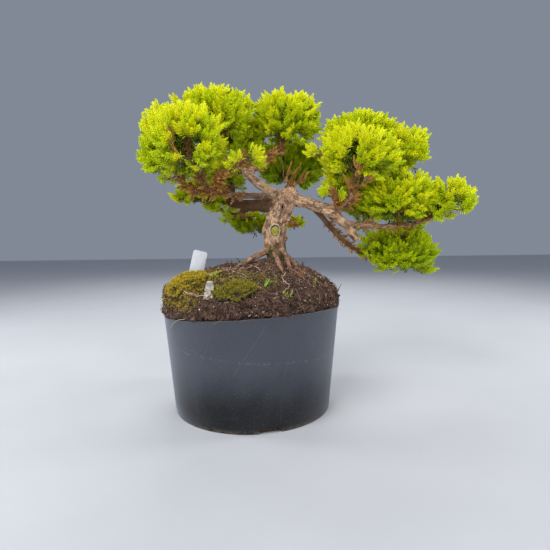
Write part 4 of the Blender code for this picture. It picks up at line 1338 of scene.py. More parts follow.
def make_wood():
    """The wood's skin with the bark's plates, cracks and scars, and what its finish goes by."""
    wood = wood_skin()
    points = coordinates(wood)
    normals = normals_of(wood)
    numbers, places = limb_places(points)
    limb_of = np.concatenate(
        [[name] * (len(route) - 1) for name, (route, _) in ROUTES.items()])[numbers]
    girth = np.clip(LIMB_RADII[numbers] / (10 * MM), 0.16, 1.15)
    stretched = places * GRAIN_STRETCH
    crack = crack_at(stretched + rough_at(places, 5 * MM)[:, None] * CRACK_WANDER, CRACK_SIZE)
    fine_crack = crack_at(stretched * (1, 1, 0.7), FINE_CRACK_SIZE)
    rough = rough_at(stretched, ROUGH_SIZE)
    lump = noise_at(points, LUMP_SIZE)
    burl = np.maximum(noise_at(points + 40 * MM, BURL_SIZE), -0.2)
    height = ((burl * BURL_HEIGHT + lump * LUMP_HEIGHT + rough * ROUGH_HEIGHT
               - crack * CRACK_DEPTH - fine_crack * FINE_CRACK_DEPTH) * girth ** 0.8 * MM)

    pale = np.zeros(len(points))
    ditch = np.zeros(len(points))
    push = np.zeros(len(points))
    cut_in = {}
    for scar in SCARS:
        x, y, z = (points - np.array(scar.middle) * MM).T
        ring = (np.hypot(x / (scar.width / 2 * MM), z / (scar.height / 2 * MM))
                + rough * 0.10 + lump * 0.12)
        front = smooth(y, SCAR_FRONT, SCAR_FRONT / 2)
        within = smooth(ring, *scar.edge) * front
        lip = smooth(np.abs(ring - LIP_RING), *LIP_EDGE) * front
        # the ditch round a scar's heart, which the finish paints near black as shade
        ditch = np.maximum(ditch, smooth(np.abs(ring - DITCH_RING), *DITCH_EDGE) * front)
        pale = np.maximum(pale, lip * scar.pale * (1 - ditch))
        cut_in[scar.kind] = within * (1 - ditch if scar.kind == "heart" else 1.0)
        push += within * scar.deep * MM
        height *= 1 - 0.75 * np.maximum(within, lip)
    from_tip = points - np.array(mm(LIMBS[SAWN].tip))
    past = from_tip @ np.array(Vector(LIMBS[SAWN].arrives).normalized())
    cut = (smooth(past, -STUB_CUT, -STUB_CUT / 3)
           * (np.linalg.norm(from_tip, axis=1) < SAWN_REACH))
    pale = np.maximum(pale, cut)
    height *= 1 - cut
    peeled = peeled_bark(limb_of, places[:, 2] / MM, normals, rough, lump)
    pale = np.maximum(pale, peeled * 0.8)
    height -= peeled * 0.5 * MM
    moved = points + normals * height[:, None]
    moved[:, 1] += push
    move_to(wood, moved)

    is_root = np.char.startswith(limb_of, "root")
    foot = smooth(points[:, 2] + lump * 5 * MM, *MOSSY_FOOT)
    for label, values in {
            "bark_place": places / MM, "crack": np.clip(crack + fine_crack * 0.5, 0, 1),
            # relief: how high the bark stands; the finish paints shade in its low places
            "ditch": ditch, "relief": np.clip(0.5 + lump * 0.3 + rough * 0.35, 0, 1),
            "girth": girth, "pale": pale, **cut_in,
            "root": np.maximum(is_root * 1.0, foot * 0.7), "foot": foot * ~is_root,
            # dark: painted shade on the boughs under the foliage
            "dark": [PAINTED_BARK_SHADE.get(name, 0.0) for name in limb_of]}.items():
        give_values(wood, label, values)
    wood.data.shade_smooth()
    dress(wood, bark_finish(), "bark", "trunk", *LIMBS)


def bark_finish():
    """Bark in plates and scabs, dark in its cracks, green at its foot and pale where it is cut."""
    def build(graph, place):
        stretched = graph.vector("MULTIPLY", {
            0: graph.attribute("bark_place", "Vector"), 1: (1.0, 1.0, 0.4)})
        crack = graph.attribute("crack")
        blotch = graph.noise(stretched, 0.16, 4.0, 0.6)
        grain = graph.noise(stretched, 0.9, 5.0, 0.7)
        speck = graph.noise(place, 1400.0, 2.0, 0.6)
        scab = graph.noise(stretched, 0.55, 4.0, 0.65)
        torn = graph.step(graph.noise(place, 170.0, 3.0, 0.6), 0.40, 0.58)
        old = graph.mix(graph.step(blotch, 0.38, 0.62), (0.50, 0.265, 0.14), (0.80, 0.50, 0.285))
        young = graph.mix(graph.step(blotch, 0.35, 0.65), (0.46, 0.235, 0.12), (0.72, 0.44, 0.25))
        red = graph.mix(graph.step(grain, 0.35, 0.65), (0.22, 0.098, 0.052), (0.46, 0.25, 0.145))
        green = graph.mix(graph.step(scab, 0.4, 0.6), (0.060, 0.042, 0.018), (0.17, 0.15, 0.028))
        callus = graph.mix(graph.step(grain, 0.35, 0.6), (0.40, 0.29, 0.18), (0.68, 0.56, 0.38))
        inner = graph.mix(graph.step(speck, 0.4, 0.65), (0.30, 0.27, 0.03), (0.52, 0.46, 0.07))
        bark = graph.layered(
            young,
            (graph.step(graph.attribute("girth"), 0.20, 0.50), old),
            (graph.step(scab, 0.56, 0.64) * 0.8, (0.90, 0.67, 0.44)),
            (graph.step(scab, 0.45, 0.37) * 0.7, (0.20, 0.10, 0.058)),
            (graph.attribute("root") * 0.7, red),
            (graph.step(grain, 0.55, 0.72) * 0.55, (0.90, 0.67, 0.45)),
            (graph.step(speck, 0.56, 0.68) * 0.6, (0.13, 0.068, 0.040)),
            # painted shade in the low places of the bark's relief
            (graph.step(graph.attribute("relief"), 0.50, 0.10) * 0.65, (0.13, 0.07, 0.042)),
            (crack * (0.12 + torn * 0.7), (0.06, 0.034, 0.022)),
            (graph.attribute("foot") * graph.step(grain, 0.25, 0.5) * 0.9, green),
            # painted shade on the boughs under the foliage
            (graph.attribute("dark"), (0.11, 0.048, 0.014)),
            (graph.attribute("pale"), callus),
            (graph.attribute("heart"), inner),
            # painted shade inside the hole, and in the ditch round the heart
            (graph.attribute("hole") * 0.92, (0.05, 0.04, 0.018)),
            (graph.attribute("ditch") * 0.85, (0.035, 0.022, 0.012)))
        height = grain * 0.6 + speck * 0.25 - crack * 0.5
        return {"Base Color": bark, "Roughness": 0.72 + grain * 0.2, "Bump": (height, 0.35 * MM)}
    return new_material("bark_skin", build)


# ---- pot

POT_FOOT_RADIUS = 77.2 * MM
POT_RIM_RADIUS = 86.1 * MM
POT_WALL = 1.5 * MM
POT_FLOOR = 2.0 * MM
RIM_HEIGHT = 98.0 * MM
RIM_TILT = 4.5 * MM
RIM_TILT_TOWARDS = math.radians(320)
RIM_WAVE = 1.0 * MM
RIM_WAVE_FROM = math.radians(300)
RIM_NICK = 0.35 * MM
POT_STEPS = 288
FOOT_EDGE = 0.7 * MM
RIM_EDGE = 0.35 * MM
FLOOR_EDGE = 1.5 * MM  # between the floor's rim and the wall
NOTCH_SIZE = (9.0 * MM, 20.5 * MM, 5.5 * MM)  # through the wall, along it, up it
NOTCH_SUNK = 0.3 * MM
NOTCH_CORNER = 1.6 * MM
POT_SMOOTH = 32  # degrees between two faces that still look like one
NOTCH_ANGLES = [math.radians(14 + 90 * turn) for turn in range(4)]

# Scratches on the pot's front: each from and to a place across and up, in millimetres, and width.
SCRATCHES = [
    ((16.9, 97.0), (-13.9, 50.6), 0.30), ((-30.0, 88.0), (-41.0, 60.0), 0.16),
    ((38.0, 80.0), (30.0, 47.0), 0.14), ((-2.0, 66.0), (24.0, 58.0), 0.13),
    ((-58.0, 74.0), (-40.0, 70.0), 0.18), ((52.0, 90.0), (58.0, 69.0), 0.15),
]


def pot_radius(height):
    """Outer radius of the pot's wall at a height."""
    return POT_FOOT_RADIUS + (POT_RIM_RADIUS - POT_FOOT_RADIUS) * height / RIM_HEIGHT


def rim_height(angle):
    """Height of the pot's uneven rim at an angle round it."""
    tilt = RIM_TILT * math.cos(angle - RIM_TILT_TOWARDS)
    wave = RIM_WAVE * math.cos(2 * (angle - RIM_WAVE_FROM))
    cut = noise.fractal(Vector((math.cos(angle) * 9, math.sin(angle) * 9, 0)), 0.8, 2.0, 4)
    return RIM_HEIGHT + tilt + wave + RIM_NICK * cut


def pot_section(angle):
    """The pot's wall at an angle: radius and height from its floor's middle round to its foot's."""
    rim = rim_height(angle)
    top = pot_radius(rim)
    inner = top - POT_WALL
    middle = 0.5 * POT_FOOT_RADIUS
    below = rim - 3 * MM
    inside_wall = [(pot_radius(rim * part) - POT_WALL, rim * part) for part in (0.05, 0.35, 0.7)]
    outside_wall = [(pot_radius(rim * part), rim * part)
                    for part in (0.9, 0.75, 0.6, 0.45, 0.3, 0.15)]
    foot = pot_radius(FOOT_EDGE)
    return [
        (0.0, POT_FLOOR), (middle, POT_FLOOR),
        (POT_FOOT_RADIUS - POT_WALL - FLOOR_EDGE, POT_FLOOR), *inside_wall,
        (inner - 0.1 * MM, rim - RIM_EDGE), (inner + RIM_EDGE * 0.7, rim),
        (top - RIM_EDGE * 0.7, rim), (top, rim - RIM_EDGE), (pot_radius(below), below),
        *outside_wall, (foot, FOOT_EDGE), (foot - 0.25 * MM, 0.2 * MM), (foot - FOOT_EDGE, 0.0),
        (middle, 0.0), (0.0, 0.0),
    ]


def notch_cutter(angle):
    """A block with a rounded top that cuts a drain notch through the pot's foot."""
    mesh = bpy.data.meshes.new("notch")
    with opened(mesh) as body:
        bmesh.ops.create_cube(body, size=1.0, matrix=Matrix.Diagonal((*NOTCH_SIZE, 1.0)))
        upper = [edge for edge in body.edges if min(v.co.z for v in edge.verts) > 0
                 and abs(edge.verts[0].co.x - edge.verts[1].co.x) > 1 * MM]
        bmesh.ops.bevel(body, geom=upper, offset=NOTCH_CORNER, segments=4, affect="EDGES")
        place = Matrix.Rotation(angle, 4, "Z") @ Matrix.Translation(
            (POT_FOOT_RADIUS, 0, NOTCH_SIZE[2] / 2 - NOTCH_SUNK))
        bmesh.ops.transform(body, verts=body.verts, matrix=place)
    return placed("notch", mesh)


def make_pot():
    """A turned cup, its rim cut by hand, with four drain notches round its foot."""
    points = []
    for step in range(POT_STEPS):
        angle = math.tau * step / POT_STEPS
        points += [(radius * math.cos(angle), radius * math.sin(angle), height)
                   for radius, height in pot_section(angle)]
    count = len(points) // POT_STEPS
    faces = []
    for turn in range(POT_STEPS):
        after = (turn + 1) % POT_STEPS
        faces += [(turn * count + step, after * count + step,
                   after * count + step + 1, turn * count + step + 1)
                  for step in range(count - 1)]
    pot = object_from("pot_wall", points, faces)
    closed_up(pot)
    cutters = [notch_cutter(angle) for angle in NOTCH_ANGLES]
    for cutter in cutters:
        notch = pot.modifiers.new("notch", "BOOLEAN")
        notch.operation = "DIFFERENCE"
        notch.object = cutter
        notch.solver = "EXACT"
    pot = evaluated(pot, "pot_wall")
    for cutter in cutters:
        bpy.data.objects.remove(cutter)
    smooth_by_angle(pot, POT_SMOOTH)
    dress(pot, pot_finish(), "pot", "pot")


def closed_up(made):
    """Merge a mesh's seams and poles, and turn its faces outwards."""
    with opened(made.data) as body:
        bmesh.ops.remove_doubles(body, verts=body.verts, dist=0.005 * MM)
        bmesh.ops.recalc_face_normals(body, faces=body.faces)


def smooth_by_angle(made, degrees):
    """Smooth faces, with sharp edges where they meet at more than an angle."""
    made.data.shade_smooth()
    with opened(made.data) as body:
        for edge in body.edges:
            edge.smooth = (len(edge.link_faces) == 2
                           and edge.calc_face_angle() < math.radians(degrees))


def scratches(graph, x, z, wander):
    """1 along the pot's scratches and 0 off them, each fading towards its lower end."""
    scratched = 0.0
    for (x0, z0), (x1, z1), width in SCRATCHES:
        length = math.hypot(x1 - x0, z1 - z0) * MM
        ux, uz = (x1 - x0) * MM / length, (z1 - z0) * MM / length
        along = (x - x0 * MM) * ux + (z - z0 * MM) * uz
        aside = abs((x - x0 * MM) * uz - (z - z0 * MM) * ux + wander * 1.6 * MM)
        mark = (graph.step(aside, width * MM, width * 0.3 * MM)
                * graph.step(along, -0.5 * MM, 1.5 * MM)
                * graph.step(along, length + 0.5 * MM, length - 4 * MM))
        scratched = graph.maths("MAXIMUM", scratched, mark)
    return scratched


def pot_finish():
    """Black plastic with dust, streaks, scratches, a dirt line, a dirty foot and rim, and a painted
    sheen.
    """
    def build(graph, place):
        x, y, z = graph.parts(place)
        angle = graph.maths("ARCTAN2", y, x)
        cloud = graph.noise(place, 26.0, 4.0, 0.6)
        film = graph.noise(place, 160.0, 5.0, 0.7)
        streak = graph.noise(graph.combine(angle * 30.0, z * 12.0, 0.0), 1.0, 3.0, 0.6)
        speck = graph.noise(place, 1500.0, 1.0, 0.5)
        broken = graph.noise(place, 330.0, 3.0, 0.7)
        # painted sheen and reflection: the wall is lighter up high and near black low down
        upper = graph.step(z + cloud * 0.018, 0.024, 0.074)
        dust = (graph.step(film, 0.50, 0.72) * graph.step(z, 0.035, 0.075) * 0.35
                + graph.step(streak, 0.55, 0.75) * 0.16)
        line = (graph.step(abs(z - 0.0605 + x * 0.078 - film * 0.008), 0.0009, 0.0002)
                * graph.step(y, -0.034, -0.056) * graph.step(broken, 0.47, 0.60))
        scratched = (scratches(graph, x, z, film - 0.5) * graph.step(y, -0.02, -0.04)
                     * graph.step(speck, 0.30, 0.50))
        dirt = graph.step(z + film * 0.006, 0.0085, 0.0025) * graph.step(film, 0.36, 0.58)
        rim_dirt = graph.step(z - film * 0.010, 0.088, 0.097) * graph.step(film, 0.48, 0.62)
        black = graph.layered(
            (0.0026, 0.0029, 0.0036),
            # partly random clouding, mostly the painted sheen towards the top
            (graph.step(cloud, 0.3, 0.7) * 0.12 + upper * 0.88, (0.064, 0.072, 0.093)),
            (dust, (0.075, 0.082, 0.095)),
            (graph.step(speck, 0.66, 0.72) * 0.5, (0.16, 0.16, 0.155)),
            (line * 0.6, (0.20, 0.185, 0.16)),
            (scratched * 0.5, (0.17, 0.17, 0.165)),
            (dirt * 0.75, (0.20, 0.15, 0.095)),
            (rim_dirt * 0.6, (0.075, 0.05, 0.032)))
        roughness = 0.36 + cloud * 0.12 + dust * 0.5 + dirt * 0.35 + scratched * 0.2
        height = film * 0.10 + streak * 0.12 + cloud * 0.8 - scratched * 0.3 + dirt * 0.2
        return {"Base Color": black, "Roughness": roughness, "Bump": (height, 0.25 * MM)}
    return new_material("black_plastic", build, **{
        "Specular IOR Level": 0.34, "Sheen Weight": 0.40, "Sheen Roughness": 0.35,
        "Sheen Tint": (0.80, 0.86, 1.0)})


# ---- soil, moss and label

SOIL_VOXEL = 1.25 * MM
SOIL_KEPT = 86.0 * MM  # below this the root ball fills the pot with plain sides
SOIL_FREE = (96.0 * MM, 101.0 * MM)  # where its sides come clear of the pot's wall

# Where the ground is heaped or sunken: middle, reach and rise in millimetres.
SWELLS = [((29, 2), (24, 20), 2.5), ((-68, 14), (42, 46), -9.5), ((78, -6), (26, 60), -2.5)]


def ground_tree():
    """The root ball's surface, to find the ground's height by."""
    return BVHTree.FromObject(bpy.data.objects["root_ball"], bpy.context.evaluated_depsgraph_get())


def soil_copy(name, node):
    """A merged copy of a CAD node's mesh."""
    made = placed(name, frame["nodes"][node].data.copy())
    with opened(made.data) as body:
        bmesh.ops.remove_doubles(body, verts=body.verts, dist=0.01 * MM)
    made.data.materials.clear()
    return made


def fill_pot(body):
    """Cut a root ball off low down and carry it on to the pot's floor, just inside the wall."""
    everything = body.verts[:] + body.edges[:] + body.faces[:]
    cut = bmesh.ops.bisect_plane(body, geom=everything, plane_co=(0, 0, SOIL_KEPT),
                                 plane_no=(0, 0, -1), clear_outer=True)
    rim = [part for part in cut["geom_cut"] if isinstance(part, bmesh.types.BMEdge)]
    base = POT_FLOOR + 0.3 * MM
    for level in (0.5, 0.0):
        added = bmesh.ops.extrude_edge_only(body, edges=rim)["geom"]
        height = base + (SOIL_KEPT - base) * level
        for vertex in (part for part in added if isinstance(part, bmesh.types.BMVert)):
            reach = math.hypot(vertex.co.x, vertex.co.y)
            scale = (pot_radius(height) - POT_WALL - 0.4 * MM) / reach
            vertex.co = (vertex.co.x * scale, vertex.co.y * scale, height)
        rim = [part for part in added if isinstance(part, bmesh.types.BMEdge)]
    bmesh.ops.holes_fill(body, edges=rim)
    bmesh.ops.recalc_face_normals(body, faces=body.faces)


def make_soil():
    """The root ball: rough, crumbly peat above the rim, plain sides inside the pot."""
    ball = remeshed(soil_copy("ball", "soil"), "root_ball", SOIL_VOXEL, 3)
    with opened(ball.data) as body:
        fill_pot(body)

    points = coordinates(ball)
    normals = normals_of(ball)
    free = smooth(points[:, 2], *SOIL_FREE)
    coarse = noise_at(points, 15 * MM) * 1.5
    rough = rough_at(points, 6 * MM, 5)
    crumb = 1 - crack_at(points, 3.2 * MM)
    side = 1 - smooth(normals[:, 2], 0.3, 0.8)
    height = (coarse * 1.1 + rough * 1.5 + crumb * 0.9 - 0.9) * (1 + 0.25 * side) * free * MM
    moved = points + normals * height[:, None]
    for (x, y), (wide, deep), rise in SWELLS:
        spread = np.hypot((points[:, 0] / MM - x) / wide, (points[:, 1] / MM - y) / deep)
        moved[:, 2] += rise * MM * smooth(spread, 1.0, 0.15) * free
    move_to(ball, moved)
    give_values(ball, "bare", free * smooth(normals[:, 2], -0.4, 0.2))
    # crumb: how far a point stands out of the gaps between crumbs, where the finish paints shade
    give_values(ball, "crumb", np.clip(0.5 + rough * 0.5 + (crumb - 0.6) * 0.5, 0, 1))
    ball.data.shade_smooth()
    return ball


def soil_finish():
    """Dark peat, paler in places and flecked, with painted shade black between its crumbs."""
    def build(graph, place):
        wide = graph.noise(place, 45.0, 4.0, 0.6)
        fine = graph.noise(place, 420.0, 5.0, 0.7)
        speck = graph.noise(place, 1700.0, 2.0, 0.6)
        soil = graph.layered(
            (0.024, 0.013, 0.010),
            (graph.step(fine, 0.35, 0.66), (0.135, 0.066, 0.044)),
            (graph.step(wide, 0.45, 0.70) * 0.5, (0.165, 0.085, 0.055)),
            # painted shade in the gaps between crumbs
            (graph.step(graph.attribute("crumb"), 0.48, 0.18) * 0.8, (0.012, 0.007, 0.005)),
            (graph.step(speck, 0.60, 0.68) * 0.6, (0.34, 0.20, 0.13)))
        return {"Base Color": soil, "Roughness": 0.95,
                "Bump": (fine * 0.7 + speck * 0.3, 0.5 * MM)}
    return new_material("peat", build)


def litter_tree():
    """Small bits scattered over a ground, each laid or stood on it at a random turn."""
    tree, graph, given = new_tree(
        "litter", Ground="Geometry", Bit="Object", Density=1.0, Least=0.5, Most=1.5, Tilt=3.2,
        Lift=0.0, Material="Material", Seed=0)
    spots = graph.node("GeometryNodeDistributePointsOnFaces", {"distribute_method": "RANDOM"}, {
        "Mesh": given["Ground"], "Density": given["Density"] * graph.stored("bare"),
        "Seed": given["Seed"]})
    tilt = given["Tilt"]
    turn = graph.chance(graph.combine(-tilt, -tilt, -math.pi), graph.combine(tilt, tilt, math.pi),
                        given["Seed"] + 1, "FLOAT_VECTOR")
    turn = graph.node("FunctionNodeEulerToRotation", (), {0: turn})
    turn = graph.node("FunctionNodeRotateRotation", {"rotation_space": "LOCAL"},
                      {0: spots["Rotation"], 1: turn})
    size = graph.chance(given["Least"], given["Most"], given["Seed"] + 2)
    lifted = graph.node("GeometryNodeSetPosition", (), {
        0: spots["Points"], "Offset": spots["Normal"] * (size * given["Lift"])})
    bits = graph.node("GeometryNodeInstanceOnPoints", (), {
        "Points": lifted, "Instance": graph.mesh_of(given["Bit"]), "Rotation": turn,
        "Scale": size})
    graph.finish(bits, given["Material"])
    return tree


def scattered(name, ground, tree, **inputs):
    """A ground's litter of one kind, as a plain mesh."""
    made = grown(placed(name, ground.data.copy()), tree, inputs)
    for attribute in ("bare", "crumb"):
        if attribute in made.data.attributes:
            made.data.attributes.remove(made.data.attributes[attribute])
    return made


def crumb_shape(rule):
    """A crumb about a millimetre across: an octahedron pushed out of shape."""
    points = [(1, 0, 0), (0, 1, 0), (-1, 0, 0), (0, -1, 0), (0, 0, 0.8), (0, 0, -0.7)]
    points = [Vector(point) * 0.55 * MM * rule.uniform(0.7, 1.3) for point in points]
    faces = [(0, 1, 4), (1, 2, 4), (2, 3, 4), (3, 0, 4), (1, 0, 5), (2, 1, 5), (3, 2, 5), (0, 3, 5)]
    return object_from("crumb", points, faces)


def flake_shape(rule):
    """A bent flake of bark about four millimetres long."""
    points = []
    for place in ((-2, -0.5, 0), (0, -0.8, 0.45), (2, -0.4, 0), (2, 0.5, 0), (0, 0.7, 0.4),
                  (-2, 0.4, 0.1)):
        points.append(Vector(place) * MM * rule.uniform(0.85, 1.1))
    points += [point + Vector((0, 0, 0.3 * MM)) for point in points]
    faces = [(0, 5, 4, 1), (1, 4, 3, 2), (6, 7, 10, 11), (7, 8, 9, 10)]
    faces += [(n, (n + 1) % 6, (n + 1) % 6 + 6, n + 6) for n in range(6)]
    return object_from("flake", points, faces)


def fibre_shape(rule, length, thick, curl):
    """A curling fibre that lies along the ground, rising at its ends."""
    points = []
    heading = 0.0
    place = Vector((-length / 2, 0, 0))
    for _ in range(5):
        points.append(place * MM)
        heading += rule.uniform(-curl, curl)
        rise = rule.uniform(-0.15, 0.22)
        place = place + Vector((math.cos(heading), math.sin(heading), rise)) * (length / 4)
    return tubes("fibre", [(points, [thick * MM * part for part in (0.6, 1, 1, 0.8, 0.4)])], 4)


def dress_soil(ball, tree):
    """Crumbs, flakes of bark, fibres and white specks of perlite all over the root ball."""
    rule = random.Random(f"{SEED} soil")
    kinds = [
        ("crumbs_dark", crumb_shape(rule), 0.16, 0.7, 2.4, 3.2, 0.15,
         grained("peat_crumb", (0.030, 0.016, 0.010), (0.085, 0.045, 0.026), 0.95)),
        ("crumbs_brown", crumb_shape(rule), 0.075, 0.6, 1.9, 3.2, 0.2,
         grained("bark_crumb", (0.14, 0.075, 0.042), (0.22, 0.125, 0.07), 0.9)),
        ("bark_flakes", flake_shape(rule), 0.012, 0.3, 0.85, 0.8, 0.3,
         grained("red_flake", (0.12, 0.058, 0.038), (0.20, 0.10, 0.062), 0.85)),
        ("straw_flakes", flake_shape(rule), 0.009, 0.3, 0.9, 0.8, 0.4,
         grained("straw", (0.33, 0.235, 0.14), (0.50, 0.39, 0.26), 0.8)),
        ("fibres_tan", fibre_shape(rule, 10, 0.13, 1.0), 0.022, 0.4, 1.2, 0.5, 0.5,
         grained("tan_fibre", (0.27, 0.165, 0.10), (0.46, 0.31, 0.195), 0.85)),
        ("fibres_red", fibre_shape(rule, 8, 0.19, 1.0), 0.026, 0.4, 1.2, 0.6, 0.4,
         grained("red_fibre", (0.13, 0.056, 0.038), (0.26, 0.115, 0.075), 0.85)),
        ("fibres_dark", fibre_shape(rule, 7, 0.2, 1.3), 0.045, 0.5, 1.2, 0.7, 0.4,
         grained("dark_fibre", (0.030, 0.017, 0.012), (0.080, 0.044, 0.028), 0.9)),
        ("perlite", crumb_shape(rule), 0.0035, 0.7, 1.5, 3.2, 0.4,
         grained("perlite", (0.62, 0.60, 0.56), (0.80, 0.78, 0.74), 0.8)),
    ]
    for number, (name, bit, density, least, most, tilt, lift, finish) in enumerate(kinds):
        piece = scattered(name, ball, tree, Bit=bit, Density=density / MM ** 2, Least=least,
                          Most=most, Tilt=tilt, Lift=lift * MM, Material=finish,
                          Seed=SEED + 10 * number)
        bpy.data.objects.remove(bit)
        dress(piece, None, "soil")


# Moss: its middle, its reaches across and back on the ground, and its colours, dark to light.
MOSSES = {
    "moss_left": ((-58, -44), (29, 27), [(0.20, 0.155, 0.014), (0.44, 0.33, 0.018),
                                         (0.66, 0.50, 0.028)]),
    "moss_front": ((-14, -52), (33, 20), [(0.085, 0.075, 0.011), (0.20, 0.18, 0.014),
                                          (0.42, 0.35, 0.020)]),
}
MOSS_DENSITY = (2.2, 2.0, 1.0)
MOSS_SPREAD = 1.45  # how far past its bed moss spreads in tufts
MOSS_SHARES = (1.4, 0.5)  # how thick it stands on its bed and on the peat round it
MOSS_TALL = (1.0, 1.3, 1.7)
MOSS_LOWEST = (104 * MM, 110 * MM)


def moss_shape(tall):
    """A moss shoot: a spike of three sides."""
    points = [(0.34, 0, 0), (-0.17, 0.29, 0), (-0.17, -0.29, 0), (0.25, 0.1, tall)]
    return object_from("moss_shoot", [Vector(point) * MM for point in points],
                       [(0, 1, 3), (1, 2, 3), (2, 0, 3), (0, 2, 1)])


def moss_bed(node):
    """A low cushion with sunken patches, which says where moss stands on it."""
    bed = remeshed(soil_copy("bed", node), f"{node}_bed", 0.8 * MM, 4)
    points = coordinates(bed)
    rough = rough_at(points, 7 * MM, 4)
    patch = noise_at(points + 20 * MM, 9 * MM)
    lump = 1 - crack_at(points, 5 * MM)
    sunk = smooth(patch, 0.05, -0.35)
    move_to(bed, points + normals_of(bed) * (
        (rough * 1.3 + lump * 1.3 - 0.7 - sunk * 3.4) * MM)[:, None])
    give_values(bed, "bare", smooth(normals_of(bed)[:, 2], -0.2, 0.3))
    bed.data.shade_smooth()
    return bed


def moss_ground(ball, middle, reaches):
    """A copy of the root ball that says where moss stands on it round a bed."""
    ground = placed("moss_ground", ball.data.copy())
    ground.data.attributes.remove(ground.data.attributes["bare"])
    points = coordinates(ground)
    away = np.hypot((points[:, 0] / MM - middle[0]) / reaches[0],
                    (points[:, 1] / MM - middle[1]) / reaches[1])
    thick = smooth(away + noise_at(points, 11 * MM) * 0.35, MOSS_SPREAD, 0.8)
    give_values(ground, "bare", thick * smooth(points[:, 2], *MOSS_LOWEST))
    return ground


def make_moss(ball, tree):
    """Ragged cushions of moss, thick with short shoots, that thin out over the peat round them."""
    shapes = [moss_shape(tall) for tall in MOSS_TALL]
    for number, (node, (middle, reaches, colours)) in enumerate(MOSSES.items()):
        bed = moss_bed(node)
        ground = moss_ground(ball, middle, reaches)
        pieces = []
        for kind, (shape, colour) in enumerate(zip(shapes, colours)):
            tint = tuple(part * 1.3 for part in colour)
            finish = grained(f"{node}_{kind}", colour, tint, 0.9)
            for share, place in zip(MOSS_SHARES, (bed, ground)):
                pieces.append(scattered(
                    f"{node}_shoots_{kind}", place, tree, Bit=shape, Least=0.6, Most=1.15,
                    Density=MOSS_DENSITY[kind] * share / MM ** 2, Tilt=0.6, Lift=-0.2 * MM,
                    Material=finish, Seed=SEED + kind + 7 * number))
        dress(joined(f"{node}_shoots", pieces), None, "moss")
        bpy.data.objects.remove(ground)
        bed.data.attributes.remove(bed.data.attributes["bare"])
        finish = grained(f"{node}_bed", (0.030, 0.018, 0.010), (0.085, 0.060, 0.016), 0.95, 300)
        dress(bed, finish, "moss", node)
    for shape in shapes:
        bpy.data.objects.remove(shape)


LABEL_SIZE = (15.2 * MM, 0.7 * MM, 52.0 * MM)
LABEL_FOOT = (-67.5 * MM, 30.0 * MM, 104.0 * MM)
LABEL_LEAN = math.radians(14)
LABEL_CORNER = 2.5 * MM
LABEL_EDGE = 0.14 * MM


def label_finish():
    """White plastic, a little clouded, with soil on its foot."""
    def build(graph, place):
        _, _, z = graph.parts(place)
        cloud = graph.noise(place, 110.0, 4.0, 0.6)
        fine = graph.noise(place, 700.0, 3.0, 0.6)
        soiled = graph.step(z - fine * 0.012, 0.131, 0.121) * graph.step(fine, 0.35, 0.6)
        white = graph.layered(
            (0.80, 0.83, 0.86),
            (graph.step(cloud, 0.4, 0.7) * 0.5, (0.66, 0.69, 0.73)),
            (soiled * 0.7, (0.20, 0.14, 0.09)),
            (graph.step(fine, 0.66, 0.72) * 0.35, (0.42, 0.42, 0.42)))
        return {"Base Color": white, "Roughness": 0.34 + cloud * 0.2, "Bump": (cloud, 0.1 * MM)}
    return new_material("label_plastic", build)


def make_label():
    """A plain white plant label with a rounded top, leaning in the root ball."""
    mesh = bpy.data.meshes.new("plant_label")
    with opened(mesh) as body:
        bmesh.ops.create_cube(body, size=1.0, matrix=Matrix.Diagonal((*LABEL_SIZE, 1.0)))
        corners = [edge for edge in body.edges if min(v.co.z for v in edge.verts) > 0
                   and edge.verts[0].co.x == edge.verts[1].co.x]
        bmesh.ops.bevel(body, geom=corners, offset=LABEL_CORNER, segments=8, profile=0.5,
                        affect="EDGES")
        rims = [edge for edge in body.edges if edge.calc_face_angle() > math.radians(60)]
        bmesh.ops.bevel(body, geom=rims, offset=LABEL_EDGE, segments=2, profile=0.5,
                        affect="EDGES")
        lean = Matrix.Rotation(LABEL_LEAN, 4, "Y") @ Matrix.Translation((0, 0, LABEL_SIZE[2] / 2))
        bmesh.ops.transform(body, verts=body.verts, matrix=Matrix.Translation(LABEL_FOOT) @ lean)
    label = placed("plant_label", mesh)
    smooth_by_angle(label, 40)
    dress(label, label_finish(), "label", "label")


# ---- what lies on the peat

# Roots that lie on the root ball: each a list of places across and back in millimetres, and its
# thickness. The ground gives each place its height.
LYING = {
    "pale_roots": [
        ([(-76, -30), (-68, -46), (-56, -60), (-42, -71), (-27, -79)], 1.0),
        ([(-20, -74), (-8, -66), (2, -68), (10, -60)], 0.7),
        ([(-6, -20), (-14, -28), (-18, -40), (-12, -50)], 0.6),
        ([(34, -30), (30, -44), (36, -58), (30, -70)], 0.7),
        ([(0, -16), (10, -24), (4, -36)], 0.6),
    ],
    "red_roots": [
        ([(44, -12), (56, -24), (66, -30), (76, -28)], 1.0),
        ([(40, -22), (52, -40), (60, -52)], 0.9),
        ([(8, -16), (-8, -26), (-26, -30), (-44, -26)], 0.9),
        ([(20, -20), (12, -40), (18, -56), (10, -72)], 0.8),
        ([(48, 2), (62, 6), (74, 0)], 0.8),
        ([(-20, -20), (-34, -14), (-50, -18)], 1.1),
        ([(14, 24), (-6, 40), (-30, 52)], 1.0),
        ([(38, 26), (50, 44), (46, 62)], 1.0),
    ],
}
LYING_STEPS = 10
LYING_WANDER = 0.25 * MM
ABOVE_GROUND = 200 * MM  # from where the ground's height is felt for
THIN_ROOTS = 90  # thin roots that wander down from the trunk's foot
THIN_ROOT_START = ((28, 1), (13, 12))  # the middle and the reaches of the ring they start on


